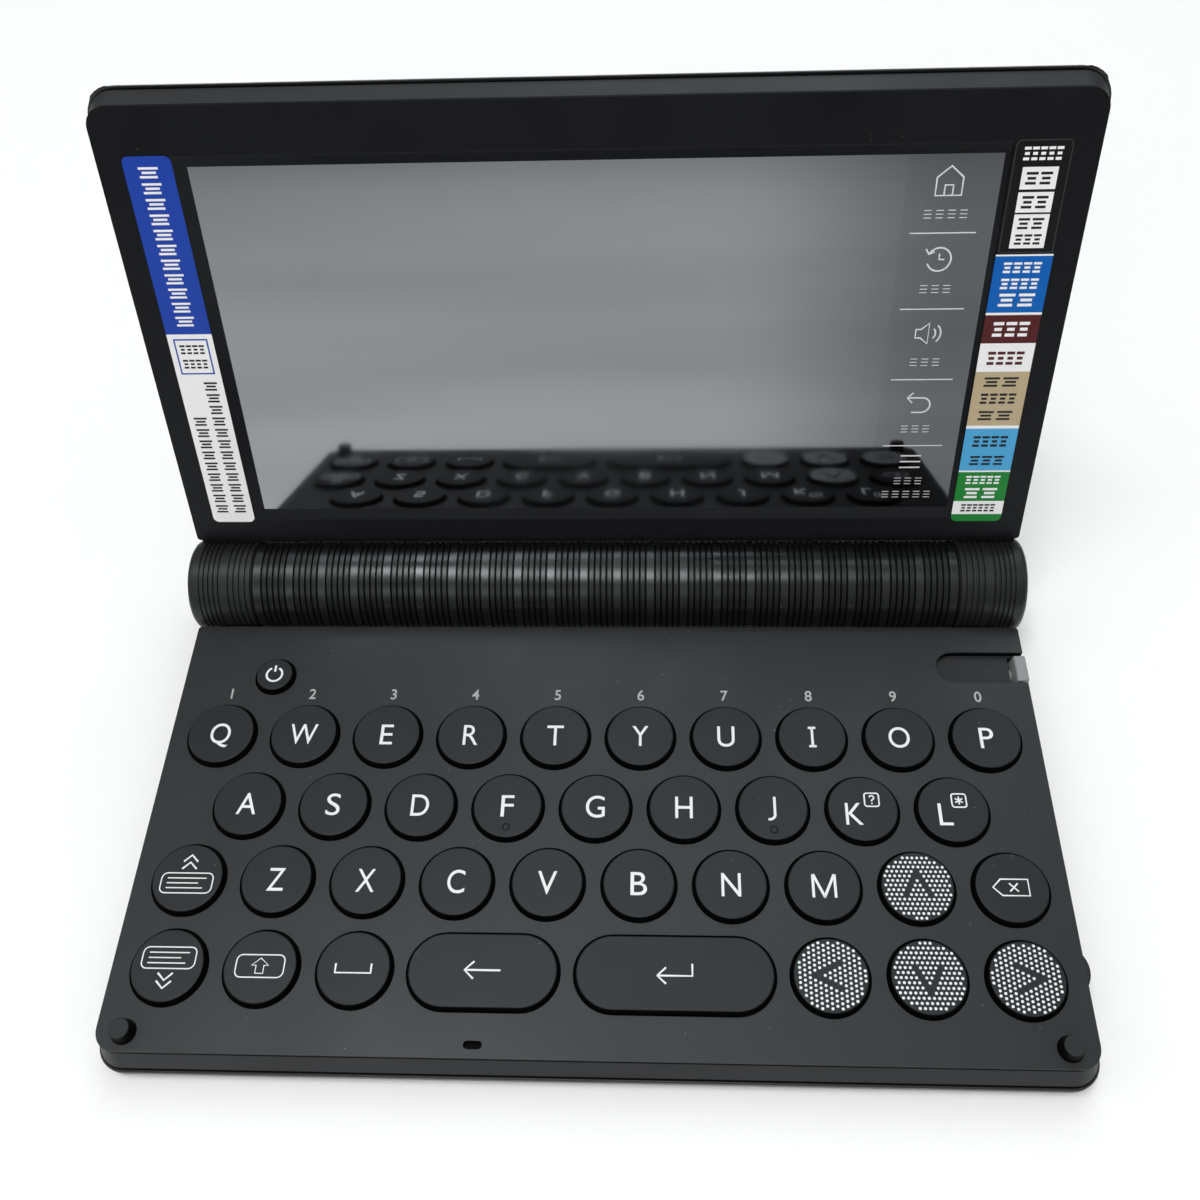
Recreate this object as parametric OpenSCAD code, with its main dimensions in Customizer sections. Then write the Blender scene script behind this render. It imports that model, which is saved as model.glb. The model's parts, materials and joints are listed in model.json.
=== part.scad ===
// Folding electronic dictionary: a keyboard base, a display lid and the battery barrel that joins them.
// The origin lies on the table, in the middle of the footprint of the opened object.
// The keyboard faces +Z, its front edge points to -Y and the hinge axis runs along X.

/* [Overall] */
// Width of the bottom cover and of the lid's back cover
cover_w = 148; // [148:1:170]
// Distance from the hinge axis to the free edge of both covers
cover_reach = 84.25; // [84.25:0.25:100]
// Angle at which the lid stands open, measured from shut
lid_angle = 110.5; // [0:0.5:145]
// Gap between keyboard panel and display bezel when the lid is shut
closed_gap = 2.1; // [1.8:0.1:4]
// Corner radius of both covers at the free edge
cover_corner_r = 4.6; // [3:0.1:8]
// Radius of the rounded outer edge of both covers
cover_edge_r = 0.9; // [0.4:0.1:1.2]
// How far the covers reach past the panel and the bezel at each side
side_overhang = 1.2; // [0.8:0.1:1.6]
// How far the covers reach past the panel and the bezel at the free edge
front_overhang = 1.85; // [1:0.05:2]

/* [Base] */
// Height of the rubber feet
foot_h = 0.8; // [0.6:0.1:1.5]
// Radius of a front foot
foot_r = 3.5; // [2:0.1:5]
// Distance from a front foot to the cover's side edge
foot_side = 8.6; // [6:0.1:12]
// Distance from a front foot to the cover's front edge
foot_front = 6.6; // [5:0.1:10]
// Length and width of a rear foot, which sits under the barrel
rear_foot = 6.6; // [4:0.1:7]
// Thickness of the keyboard panel
panel_t = 1.2; // [1:0.1:1.6]
// Corner radius of the keyboard panel at the front
panel_corner_r = 3.3; // [2:0.1:5]
// Thickness of the bottom cover's floor
floor_t = 1; // [0.8:0.1:1.4]
// Height of the bottom cover's outer wall
cover_lip = 2; // [1.6:0.1:2.4]
// Thickness of the covers' outer walls
cover_wall = 1.4; // [1:0.1:2]
// Gap between the rear edge of both shells and the barrel
barrel_clearance = 0.25; // [0.2:0.05:0.5]

/* [Keys] */
// Distance from the panel's side edge to the middle of the outer keys
key_side = 8.9; // [8.5:0.1:10]
// Distance from the panel's front edge to the middle of the bottom row
key_front = 12.4; // [11:0.1:14]
// Distance from the panel's rear edge to the first letter row
key_rear = 22.1; // [21.5:0.1:23.5]
// How much further the bottom row is from its neighbour than the letter rows are
last_row_extra = 1; // [0:0.1:2]
// Gap between the tops of neighbouring keys
key_gap = 2.8; // [2.6:0.1:4]
// How far the key's side spreads from its top to the panel
key_taper = 0.33; // [0.1:0.01:0.4]
// Radius of the rounding around a key's top
key_fillet = 0.35; // [0.1:0.05:0.6]
// Height of the keys above the panel
key_rise = 1; // [0.7:0.1:1.4]
// How far a key travels when it is pressed
key_travel = 0.8; // [0.4:0.1:0.8]
// Gap between a key and its hole in the panel
key_clearance = 0.2; // [0.1:0.05:0.3]
// Width of the flange that keeps a key under the panel
key_flange = 0.4; // [0.2:0.1:0.5]
// Thickness of the key's flange
key_flange_t = 0.4; // [0.3:0.1:0.6]
// Radius of the stem under a key
key_stem_r = 1.5; // [1:0.1:2.5]
// Length of the long key left of the middle
back_key_len = 22.3; // [20:0.1:24]
// Radius of the small power key's top
power_key_r = 3.1; // [2.5:0.1:3.6]
// Distance from the panel's rear edge to the power key
power_key_rear = 10.5; // [10:0.1:11]

/* [Panel details] */
// Radius of the top of the stops that the lid closes on
bumper_top_r = 1.4; // [1:0.1:1.8]
// Radius of the hole that holds a stop
bumper_hole_r = 1.9; // [1.9:0.1:2.2]
// Distance from a stop to the panel's side edge
bumper_side = 4.25; // [4:0.05:5]
// Distance from a stop to the panel's front edge
bumper_front = 2.8; // [2.6:0.1:3.2]
// Gap that a shut lid leaves over the stops
bumper_gap = 0.05; // [0.02:0.01:0.2]
// Length of the microphone slot
mic_slot_len = 2.8; // [2:0.1:4]
// Width of the microphone slot
mic_slot_w = 1.2; // [0.8:0.1:1.4]
// Distance from the middle to the microphone slot
mic_x = 16.75; // [14:0.25:20]
// Distance from the microphone slot to the panel's front edge
mic_front = 1.85; // [1.8:0.05:2]
// Radius of the microphone capsule
mic_r = 1.3; // [1:0.1:1.4]

/* [Stylus] */
// Length of the stylus
stylus_len = 78; // [70:1:78]
// Radius of the stylus shaft
stylus_r = 1.3; // [1:0.05:1.35]
// Width of the stylus head
stylus_head_w = 5; // [4:0.1:5.2]
// Length of the stylus head
stylus_head_len = 2.7; // [2:0.1:4]
// Distance from the cover's side edge to the end of the stored stylus
stylus_inset = 0.8; // [0.6:0.1:1.2]
// Distance from the panel's rear edge to the stylus
stylus_rear = 8.1; // [7.9:0.1:8.3]
// Width of the finger recess in the panel
recess_w = 6; // [5.8:0.1:6.2]
// Length of the finger recess, from its round end to the panel's edge
recess_len = 15.1; // [12:0.1:20]
// Gap around the stylus in its channel
stylus_clearance = 0.1; // [0.05:0.01:0.2]

/* [Barrel] */
// Radius of the battery barrel
barrel_r = 8.25; // [8:0.05:10]
// Height of the barrel's underside above the table
barrel_low = 0.4; // [0.2:0.05:0.6]
// Thickness of the barrel's wall around the cells
barrel_wall = 0.85; // [0.7:0.05:1.2]
// How far the barrel's ends stay inside the covers' width
barrel_inset = 0.5; // [0.2:0.1:1]
// Length of a hinge knuckle at each end of the barrel
knuckle_len = 11.65; // [10:0.05:12]
// Gap between a knuckle and the barrel's middle
knuckle_gap = 0.35; // [0.2:0.05:0.5]
// Radius of the rounding at the barrel's ends
knuckle_fillet = 1; // [0.4:0.1:2]
// Number of raised bands around the middle of the barrel
band_count = 22; // [10:1:24]
// Width of a raised band
band_w = 1.4; // [1:0.1:2]
// Depth of the grip grooves between the raised bands
groove_depth = 0.25; // [0.1:0.05:0.4]
// Radius of a hinge pin
pin_r = 2; // [1.5:0.05:2.5]
// Length of a hinge pin
pin_len = 15; // [12:0.5:16]
// Running gap around a hinge pin
pin_clearance = 0.05; // [0.02:0.01:0.1]
// Depth to which a hinge pin sits in its knuckle
pin_in_knuckle = 9; // [7:0.5:9]
// Length of the barrel's solid end beside the cells
barrel_end = 8.9; // [7:0.1:12]
// Gap around the cells in the barrel
cell_clearance = 0.3; // [0.15:0.05:0.3]
// Length of the compressed contact spring
spring_len = 3.4; // [2.5:0.1:4.5]
// Radius of the contact spring at its plate
spring_wide_r = 3.3; // [2.5:0.1:4]
// Radius of the contact spring at the cell
spring_narrow_r = 2; // [1.5:0.1:2.4]
// Radius of the contact spring's wire
spring_wire_r = 0.3; // [0.2:0.05:0.4]
// Thickness of a contact plate
contact_t = 0.4; // [0.3:0.1:0.6]
// Radius of a contact plate
contact_r = 5.5; // [4:0.1:6.5]
// Angle above the rearward direction at which the battery door begins
door_top_angle = 30; // [25:1:40]
// Angle that the battery door spans around the barrel
door_span = 160; // [155:1:165]
// Gap around the battery door
door_gap = 0.1; // [0.05:0.01:0.2]

/* [Lid] */
// Thickness of the lid from bezel to back cover
lid_t = 5.8; // [5.6:0.1:8]
// Gap between the barrel and the lid's near edge
lid_gap = 0.75; // [0.7:0.05:1.1]
// Thickness of the display bezel
bezel_t = 1; // [0.8:0.1:1.2]
// Corner radius of the bezel at its free edge
bezel_corner_r = 3; // [2:0.1:5]
// Thickness of the lid's back cover
back_t = 1.1; // [0.8:0.1:1.4]
// Height of the back cover's outer wall
back_lip = 1.85; // [1.5:0.05:2.2]
// Width of the bezel beside the visible display
screen_side = 13.1; // [11:0.1:16]
// Width of the bezel between the visible display and the free edge
screen_far_edge = 8.8; // [7:0.1:12]
// Distance from the hinge axis to the lower edge of the visible display
screen_near = 14.9; // [14:0.1:16]
// Width of the sloped edge around the display
screen_slope = 1.7; // [1:0.1:2]
// Thickness of the touch glass
glass_t = 1; // [0.7:0.1:1.2]
// How far glass and display module reach past the visible display
glass_margin = 2.2; // [1.5:0.1:3]

/* [Inside the base] */
// Thickness of the rubber keypad sheet
membrane_t = 0.6; // [0.4:0.1:0.8]
// Thickness of the circuit board
board_t = 1; // [0.8:0.1:1.2]
// Height of the chips under the circuit board
chip_h = 0.8; // [0.4:0.1:1]
// Radius of the speaker
speaker_r = 4.2; // [3.5:0.1:4.4]
// Height of the speaker
speaker_h = 2.4; // [1.5:0.1:3]
// Distance from the middle to the speaker
speaker_x = 30; // [25:1:38]
// Radius of the sound holes under the speaker
sound_hole_r = 0.4; // [0.2:0.1:0.5]
// Radius of a screw's shank
screw_r = 0.7; // [0.5:0.05:0.8]
// Radius of a screw's head
screw_head_r = 1.5; // [1.2:0.1:1.6]
// Height of a screw's head
screw_head_h = 0.8; // [0.5:0.1:0.9]
// Length of a screw's shank
screw_len = 3.6; // [3:0.1:4]
// Gap around a screw in the bottom cover
screw_clearance = 0.2; // [0.1:0.05:0.3]
// Radius of a screw boss under the panel
boss_r = 1.9; // [1.5:0.1:2]
// Distance from the panel's side edge to the front corner screws
front_screw_side = 14.8; // [12:0.1:20]
// Distance from the panel's side edge to the rear corner screws
rear_screw_side = 26.8; // [25:0.1:30]

/* [Strap eyelet] */
// Distance from the panel's front edge to the middle of the eyelet
eyelet_front = 14.5; // [12:0.1:17]
// Length of the eyelet's bulge along the side
eyelet_len = 6.3; // [5:0.1:8]
// How far the bulge stands out from the side frame's top edge
eyelet_rise = 1.5; // [1.2:0.1:1.5]
// Height of the eyelet's bulge
eyelet_h = 2.1; // [1.8:0.1:2.4]
// Radius of the strap hole
eyelet_hole_r = 0.6; // [0.4:0.05:0.7]

/* [Hidden] */
$fn = 64;
hull_fn = 32;
// Thickness of a layer inside a hull
skin = 0.01;
// Overlap of a cut past the face it opens
cut = 1;
// How far the shells between panel and cover step in under the panel's edge
reveal = 0.3;
// How far the shells step in at the cover's edge
rim_step = 0.25;
// Distance from the panel's outline to the inner face of the side walls
side_wall = 1.5;
// Distance from the panel's outline to the inner face of the front wall
front_wall = 1.1;
// Small gap between stacked moving layers
layer_gap = 0.05;
// Small gap beside boards and sheets
board_gap = 0.4;
// Small gap between neighbours of one body
small_gap = 0.1;
// Corner radius at the hinge side of both shells
near_r = 0.6;
// Thickness of the wall between stylus recess and stylus channel
channel_roof = 0.7;
// Thickness of the channel's side walls
channel_wall = 0.8;
// Thickness of the wall around the finger recess
recess_wall = 0.4;
// Thickness of the side frame's wall towards the barrel
rear_wall = 0.9;

hinge_z = barrel_low + barrel_r;
panel_top = hinge_z - closed_gap / 2;
panel_under = panel_top - panel_t;
floor_top = foot_h + floor_t;
cover_top = foot_h + cover_lip;
base_near = barrel_r + barrel_clearance;
lid_near = barrel_r + lid_gap;
first_row = base_near + key_rear;
power_key_y = base_near + power_key_rear;
stylus_y = base_near + stylus_rear;

bezel_z = closed_gap / 2;
bezel_under = bezel_z + bezel_t;
lid_back = bezel_z + lid_t;
back_inside = lid_back - back_t;
back_rim = lid_back - back_lip;

lid_rear_reach = (cover_reach - cover_edge_r) * -cos(lid_angle)
    + (lid_back - cover_edge_r) * sin(lid_angle) + cover_edge_r;
rear_reach = max(barrel_r, lid_rear_reach);
hinge_y = (cover_reach - rear_reach) / 2;

panel_half_w = cover_w / 2 - side_overhang;
panel_reach = cover_reach - front_overhang;

key_pitch = 2 * (panel_half_w - key_side) / 9;
row_pitch = (panel_reach - key_front - first_row - last_row_extra) / 3;
last_row_pitch = row_pitch + last_row_extra;
key_top_r = (min(key_pitch, last_row_pitch) - key_gap) / 2;
power_key_x = -key_x(0.5);
eyelet_y = panel_reach - eyelet_front;
front_screw_x = panel_half_w - front_screw_side;
rear_screw_x = panel_half_w - rear_screw_side;

screen_w = 2 * (panel_half_w - screen_side);
screen_h = panel_reach - screen_far_edge - screen_near;

barrel_half = cover_w / 2 - barrel_inset;
knuckle_start = barrel_half - knuckle_len;
mid_half = knuckle_start - knuckle_gap;
band_pitch = (2 * mid_half - band_w) / (band_count - 1);
groove_w = band_pitch - band_w;
pin_x = knuckle_start + pin_in_knuckle - pin_len / 2;
cell_bore_r = barrel_r - barrel_wall;
cell_r = cell_bore_r - cell_clearance;
cavity_half = mid_half - barrel_end;
cell_len = cavity_half - contact_t - spring_len / 2;
door_low_angle = door_top_angle - door_span;

membrane_top = panel_under - key_flange_t - key_travel - layer_gap;
board_top = membrane_top - membrane_t;
board_under = board_top - board_t;
key_top = panel_top + key_rise;
stem_bottom = board_top + key_travel + layer_gap;

stylus_end = cover_w / 2 - stylus_inset;
stylus_z = panel_under - channel_roof - stylus_clearance - stylus_r;
channel_half = stylus_r + stylus_clearance + channel_wall;
channel_end = stylus_end - stylus_len - 2;
recess_start = panel_half_w - recess_len;

board_rear = stylus_y + recess_w / 2 + channel_wall + board_gap / 2;
board_front = panel_reach - front_wall - board_gap;
board_half = panel_half_w - side_wall - board_gap;
sheet_front = row_y(3) + flange_r(key_top_r) + board_gap;
power_reach = flange_r(power_key_r) + board_gap;
front_screw_y = board_front - boss_r - board_gap;
rear_screw_y = stylus_y - channel_half - boss_r - board_gap - small_gap;
screw_spots = [
    for (x = [-front_screw_x, 0, front_screw_x]) [x, -front_screw_y],
    for (x = [-rear_screw_x, 0, rear_screw_x]) [x, -rear_screw_y],
];
speaker_y = base_near + cover_wall + small_gap + speaker_r;
frame_h = panel_under - cover_top;
eyelet_z = panel_under - reveal - eyelet_h / 2;
head_low = cover_top + small_gap + stylus_clearance;

KEY_BODY = "dimgray";
SHELL = "darkslategray";

// Place of a key column, counted from 0 at the left
function key_x(column) = (column - 4.5) * key_pitch;
// Radius of a key where it meets the panel, of its hole and of its flange, from the radius of its top
function side_r(top_r) = top_r + key_taper;
function hole_r(top_r) = side_r(top_r) + key_clearance;
function flange_r(top_r) = hole_r(top_r) + key_flange;
// Distance from the hinge axis to a key row, counted from 0 at the hinge
function row_y(row) = first_row + min(row, 2) * row_pitch + max(row - 2, 0) * last_row_pitch;

long_keys_left = key_x(2) + key_top_r;
long_keys_right = key_x(7) - key_top_r;
enter_key_len = long_keys_right - long_keys_left - 3 * key_gap - back_key_len;
back_key_x = long_keys_left + key_gap + back_key_len / 2;
enter_key_x = long_keys_right - key_gap - enter_key_len / 2;

// Each key as its place, the radius of its top and the length of its straight middle
key_spots = [
    for (column = [0:9]) [key_x(column), -row_y(0), key_top_r, 0],
    for (column = [0:8]) [key_x(column + 0.5), -row_y(1), key_top_r, 0],
    for (column = [0:9]) [key_x(column), -row_y(2), key_top_r, 0],
    for (column = [0, 1, 2, 7, 8, 9]) [key_x(column), -row_y(3), key_top_r, 0],
    [back_key_x, -row_y(3), key_top_r, back_key_len - 2 * key_top_r],
    [enter_key_x, -row_y(3), key_top_r, enter_key_len - 2 * key_top_r],
    [-power_key_x, -power_key_y, power_key_r, 0],
];

KEY_NODES = [
    "key_power",
    "key_q", "key_w", "key_e", "key_r", "key_t", "key_y", "key_u", "key_i", "key_o", "key_p",
    "key_a", "key_s", "key_d", "key_f", "key_g", "key_h", "key_j", "key_k", "key_l",
    "key_previous", "key_z", "key_x", "key_c", "key_v", "key_b", "key_n", "key_m", "key_up", "key_delete",
    "key_next", "key_shift", "key_space", "key_back", "key_enter", "key_left", "key_down", "key_right",
];

// Puts a piece of the base in its place, drawn with the hinge axis at y 0 and the table at z 0
module on_base() {
    translate([0, hinge_y, 0]) children();
}

// Puts a piece of the barrel in its place, drawn around the hinge axis
module on_axis() {
    translate([0, hinge_y, hinge_z]) children();
}

// Opens a piece of the lid, drawn shut and around the hinge axis
module on_lid() {
    on_axis() rotate([-lid_angle, 0, 0]) children();
}

// Round bar along X, centred on the axis
module x_bar(r, half) {
    rotate([0, 90, 0]) cylinder(r = r, h = 2 * half, center = true);
}

// Outline of a plate that reaches from near to far on the -Y side of the hinge axis
module outline(half_w, near, far, near_r, far_r) {
    middle = (near + far) / 2;
    translate([-half_w, -far + far_r]) square([2 * half_w, far - near - far_r - near_r]);
    translate([far_r - half_w, -far]) square([2 * (half_w - far_r), far - middle]);
    translate([near_r - half_w, -middle]) square([2 * (half_w - near_r), middle - near]);
    for (side = [-1, 1]) {
        translate([side * (half_w - far_r), far_r - far]) circle(r = far_r);
        translate([side * (half_w - near_r), -near - near_r]) circle(r = near_r);
    }
}

// Plate of that outline between two heights
module plate(half_w, near, far, near_r, far_r, low, high) {
    translate([0, 0, low]) linear_extrude(high - low) outline(half_w, near, far, near_r, far_r);
}

// Outer shell of a cover: its outer edge is rounded at z 0 and its plain edge is at z height
module rounded_cover(near, height) {
    hull() {
        for (turn = [0:30:90]) {
            inset = cover_edge_r * (1 - sin(turn));
            rise = cover_edge_r * (1 - cos(turn));
            translate([0, 0, rise]) linear_extrude(skin)
                outline(cover_w / 2 - inset, near, cover_reach - inset, near_r,
                        cover_corner_r - inset, $fn = hull_fn);
        }
        translate([0, 0, height - skin]) linear_extrude(skin)
            outline(cover_w / 2, near, cover_reach, near_r, cover_corner_r, $fn = hull_fn);
    }
}

// Wall that leans out from under the panel or bezel to the edge of its cover
module leaning_wall(near, corner_r, height) {
    hull() {
        linear_extrude(skin)
            outline(cover_w / 2 - rim_step, near, cover_reach - rim_step, near_r,
                    cover_corner_r - rim_step, $fn = hull_fn);
        translate([0, 0, height - skin]) linear_extrude(skin)
            outline(panel_half_w - reveal, near, panel_reach - reveal, near_r,
                    corner_r - reveal, $fn = hull_fn);
    }
}

// Bar with round ends along X, standing between two heights
module slot_bar(r, straight, low, high) {
    for (side = [-1, 1])
        translate([side * straight / 2, 0, low]) cylinder(r = r, h = high - low);
    if (straight > 0)
        translate([-straight / 2, -r, low]) cube([straight, 2 * r, high - low]);
}

// Half section of a key: stem, flange, leaning side and rounded top
function key_section(r) = concat(
    [
        [0, stem_bottom],
        [key_stem_r, stem_bottom],
        [key_stem_r, panel_under - key_flange_t],
        [flange_r(r), panel_under - key_flange_t],
        [flange_r(r), panel_under],
        [side_r(r), panel_under],
        [side_r(r), panel_top],
    ],
    [
        for (turn = [0:30:90])
            [r - key_fillet * (1 - cos(turn)), key_top - key_fillet * (1 - sin(turn))],
    ],
    [[0, key_top]]
);

// Key around the Z axis, drawn out along X over its straight middle
module key_solid(r, straight) {
    section = key_section(r);
    mirrored = [for (i = [len(section) - 1:-1:0]) [-section[i][0], section[i][1]]];
    if (straight > 0) {
        for (side = [-1, 1])
            translate([side * straight / 2, 0, 0]) rotate_extrude() polygon(section);
        rotate([90, 0, 90]) translate([0, 0, -straight / 2])
            linear_extrude(straight) polygon(concat(section, mirrored));
    } else {
        rotate_extrude() polygon(section);
    }
}

// Key at a column and row of the keyboard
module key_at(column, row) {
    on_base() translate([key_x(column), -row_y(row), 0]) key_solid(key_top_r, 0);
}

// Long key of the bottom row
module long_key(x, length) {
    on_base() translate([x, -row_y(3), 0]) key_solid(key_top_r, length - 2 * key_top_r);
}

// Cuts for the keys' stems
module stem_cuts(low, high) {
    for (spot = key_spots)
        translate([spot[0], spot[1], 0]) slot_bar(key_stem_r + board_gap, spot[3], low, high);
}

// Cuts for the panel's screw bosses
module boss_cuts(low, high) {
    for (spot = screw_spots)
        translate([spot[0], spot[1], low]) cylinder(r = boss_r + board_gap / 2, h = high - low);
}

// Sheet over the keyboard with a tab under the power key
module keyboard_sheet(front, low, high) {
    plate(board_half, board_rear, front, near_r, near_r, low, high);
    translate([-board_half, -board_rear - near_r - cut, low])
        cube([board_half - power_key_x + power_reach,
              board_rear + near_r + cut - power_key_y + power_reach, high - low]);
}

// Shell below the keyboard, flat underneath, with bosses for the screws
module base_bottom_cover() {
    color(SHELL) on_base() difference() {
        union() {
            difference() {
                translate([0, 0, foot_h]) rounded_cover(base_near, cover_lip);
                plate(cover_w / 2 - cover_wall, base_near + cover_wall, cover_reach - cover_wall,
                      near_r, cover_corner_r - cover_wall, floor_top, cover_top + cut);
            }
            for (spot = screw_spots)
                translate([spot[0], spot[1], floor_top - skin])
                    cylinder(r = boss_r + board_gap, h = board_under - floor_top + skin);
        }
        for (spot = screw_spots) translate([spot[0], spot[1], 0]) {
            translate([0, 0, foot_h - cut]) cylinder(r = screw_head_r + screw_clearance, h = floor_t + cut);
            cylinder(r = screw_r + screw_clearance, h = board_under + cut);
        }
        for (ring = [1, 2], turn = [0:60:300])
            translate([-speaker_x, -speaker_y, foot_h - cut]) rotate([0, 0, turn])
                translate([ring * speaker_r / 3, 0, 0]) cylinder(r = sound_hole_r, h = floor_t + 2 * cut);
    }
}

// Leaning side wall of the base with the stylus channel and the strap eyelet
module base_side_frame() {
    head_half = stylus_head_w / 2 + 2 * stylus_clearance;
    inner_half = panel_half_w - side_wall;
    channel_h = panel_under - floor_top;
    color(SHELL) on_base() difference() {
        union() {
            difference() {
                translate([0, 0, cover_top]) leaning_wall(base_near, panel_corner_r, frame_h);
                plate(inner_half, base_near + rear_wall, panel_reach - front_wall,
                      near_r, panel_corner_r - front_wall, cover_top - cut, panel_under + cut);
            }
            translate([channel_end, -stylus_y - channel_half, floor_top])
                cube([inner_half - channel_end, 2 * channel_half, channel_h]);
            translate([recess_start - recess_wall, -stylus_y - recess_w / 2 - recess_wall, floor_top])
                cube([inner_half - recess_start + recess_wall, recess_w + 2 * recess_wall, channel_h]);
            strap_bulge();
        }
        translate([channel_end + channel_wall, -stylus_y, stylus_z]) rotate([0, 90, 0])
            cylinder(r = stylus_r + stylus_clearance, h = stylus_len + 4 * cut);
        translate([stylus_end - stylus_head_len - 2 * stylus_clearance, -stylus_y - head_half,
                   head_low - stylus_clearance])
            cube([stylus_head_len + 4 * cut, 2 * head_half, panel_top]);
        strap_holes();
    }
}

// Low bulge on the right side that the strap passes through
module strap_bulge() {
    half = eyelet_len / 2;
    bulge_r = (half * half + eyelet_rise * eyelet_rise) / (2 * eyelet_rise);
    top_x = panel_half_w - reveal;
    intersection() {
        translate([top_x + eyelet_rise - bulge_r, -eyelet_y, eyelet_z - eyelet_h / 2])
            cylinder(r = bulge_r, h = eyelet_h);
        translate([top_x - board_gap, -eyelet_y - half, cover_top])
            cube([eyelet_rise + cut, eyelet_len, frame_h]);
    }
}

// Strap passage: in at the bulge's front end and out at its side
module strap_holes() {
    hole_x = panel_half_w - reveal + eyelet_rise - 2 * eyelet_hole_r;
    translate([hole_x, -eyelet_y, eyelet_z]) {
        rotate([90, 0, 0]) cylinder(r = eyelet_hole_r, h = eyelet_len);
        rotate([0, 90, 0]) cylinder(r = eyelet_hole_r, h = eyelet_rise + cut);
    }
}

// Keyboard panel with the key holes, the stylus recess and the microphone slot
module base_top_panel() {
    color("dimgray") on_base() difference() {
        union() {
            plate(panel_half_w, base_near, panel_reach, near_r, panel_corner_r, panel_under, panel_top);
            for (spot = screw_spots)
                translate([spot[0], spot[1], board_under])
                    cylinder(r = boss_r, h = panel_under - board_under);
        }
        for (spot = key_spots)
            translate([spot[0], spot[1], 0])
                slot_bar(hole_r(spot[2]), spot[3], panel_under - cut, panel_top + cut);
        for (side = [-1, 1])
            translate([side * (panel_half_w - bumper_side), bumper_front - panel_reach, panel_under - cut])
                cylinder(r = bumper_hole_r, h = panel_t + 2 * cut);
        translate([-mic_x, mic_front - panel_reach, 0])
            slot_bar(mic_slot_w / 2, mic_slot_len - mic_slot_w, panel_under - cut, panel_top + cut);
        translate([recess_start + recess_w / 2 + recess_len, -stylus_y, 0])
            slot_bar(recess_w / 2, 2 * recess_len, panel_under - cut, panel_top + cut);
        for (spot = screw_spots)
            translate([spot[0], spot[1], board_under - cut])
                cylinder(r = screw_r, h = floor_top + screw_len + board_gap - board_under + cut);
    }
}

// Rubber sheet between keys and circuit board
module keypad_membrane() {
    color("gray") on_base() difference() {
        keyboard_sheet(sheet_front, board_top, membrane_top);
        stem_cuts(board_top - cut, membrane_top + cut);
        boss_cuts(board_top - cut, membrane_top + cut);
    }
}

// Circuit board with its chips on the underside
module main_board() {
    // Each chip as its left edge, its distance from the hinge axis, its width and its depth
    chips = [[-38, 40, 12, 12], [-8, 46, 16, 9], [24, 40, 10, 14], [44, 58, 8, 8]];
    color("darkgreen") on_base() difference() {
        union() {
            keyboard_sheet(board_front, board_under, board_top);
            for (chip = chips)
                translate([chip[0], -chip[1] - chip[3], board_under - chip_h])
                    cube([chip[2], chip[3], chip_h + skin]);
        }
        boss_cuts(board_under - cut, board_top + cut);
    }
}

// Small round loudspeaker over the holes in the bottom cover
module speaker() {
    color("silver") on_base() translate([-speaker_x, -speaker_y, floor_top]) {
        cylinder(r = speaker_r, h = speaker_h * 0.6);
        cylinder(r = speaker_r * 0.6, h = speaker_h);
    }
}

// Microphone capsule behind its slot, standing on the board
module microphone() {
    color("silver") on_base()
        translate([-mic_x, front_wall + mic_r + small_gap - panel_reach, board_top])
            cylinder(r = mic_r, h = panel_under - board_top);
}

// Two stops near the front corners that the shut lid rests on
module corner_bumpers() {
    stop_h = closed_gap - bumper_gap;
    bevel = 0.15;
    color("black") on_base() for (side = [-1, 1])
        translate([side * (panel_half_w - bumper_side), bumper_front - panel_reach, 0])
            rotate_extrude() polygon([
                [0, panel_under],
                [bumper_hole_r - layer_gap, panel_under],
                [bumper_hole_r - layer_gap, panel_top],
                [bumper_top_r + bevel, panel_top + stop_h - bevel],
                [bumper_top_r, panel_top + stop_h],
                [0, panel_top + stop_h],
            ]);
}

// Two feet under the front corners and two under the barrel's fixed ends
module rubber_feet() {
    foot_x = cover_w / 2 - foot_side - foot_r;
    rear_foot_x = mid_half - barrel_end / 2;
    color("black") {
        on_base() for (side = [-1, 1])
            translate([side * foot_x, foot_front + foot_r - cover_reach, 0])
                cylinder(r = foot_r, h = foot_h);
        difference() {
            on_base() for (side = [-1, 1])
                translate([side * rear_foot_x - rear_foot / 2, -rear_foot / 2, 0])
                    cube([rear_foot, rear_foot, foot_h + small_gap]);
            on_axis() x_bar(barrel_r, mid_half);
        }
    }
}

// Screws through the bottom cover into the panel's bosses
module case_screws() {
    cross_w = 0.4;
    color("silver") on_base() for (spot = screw_spots) translate([spot[0], spot[1], 0]) {
        difference() {
            translate([0, 0, floor_top - screw_head_h]) cylinder(r = screw_head_r, h = screw_head_h);
            for (turn = [0, 90])
                translate([0, 0, floor_top - screw_head_h]) rotate([0, 0, turn])
                    cube([screw_head_r, cross_w, screw_head_h], center = true);
        }
        translate([0, 0, floor_top - skin]) cylinder(r = screw_r, h = screw_len + skin);
    }
}

// Wedge around the hinge axis, between two angles measured from +Y towards +Z
module wedge(from, to, half) {
    reach = 3 * barrel_r;
    step = (to - from) / 4;
    rotate([90, 0, 90]) translate([0, 0, -half]) linear_extrude(2 * half)
        polygon(concat([[0, 0]], [for (i = [0:4]) reach * [cos(from + i * step), sin(from + i * step)]]));
}

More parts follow.
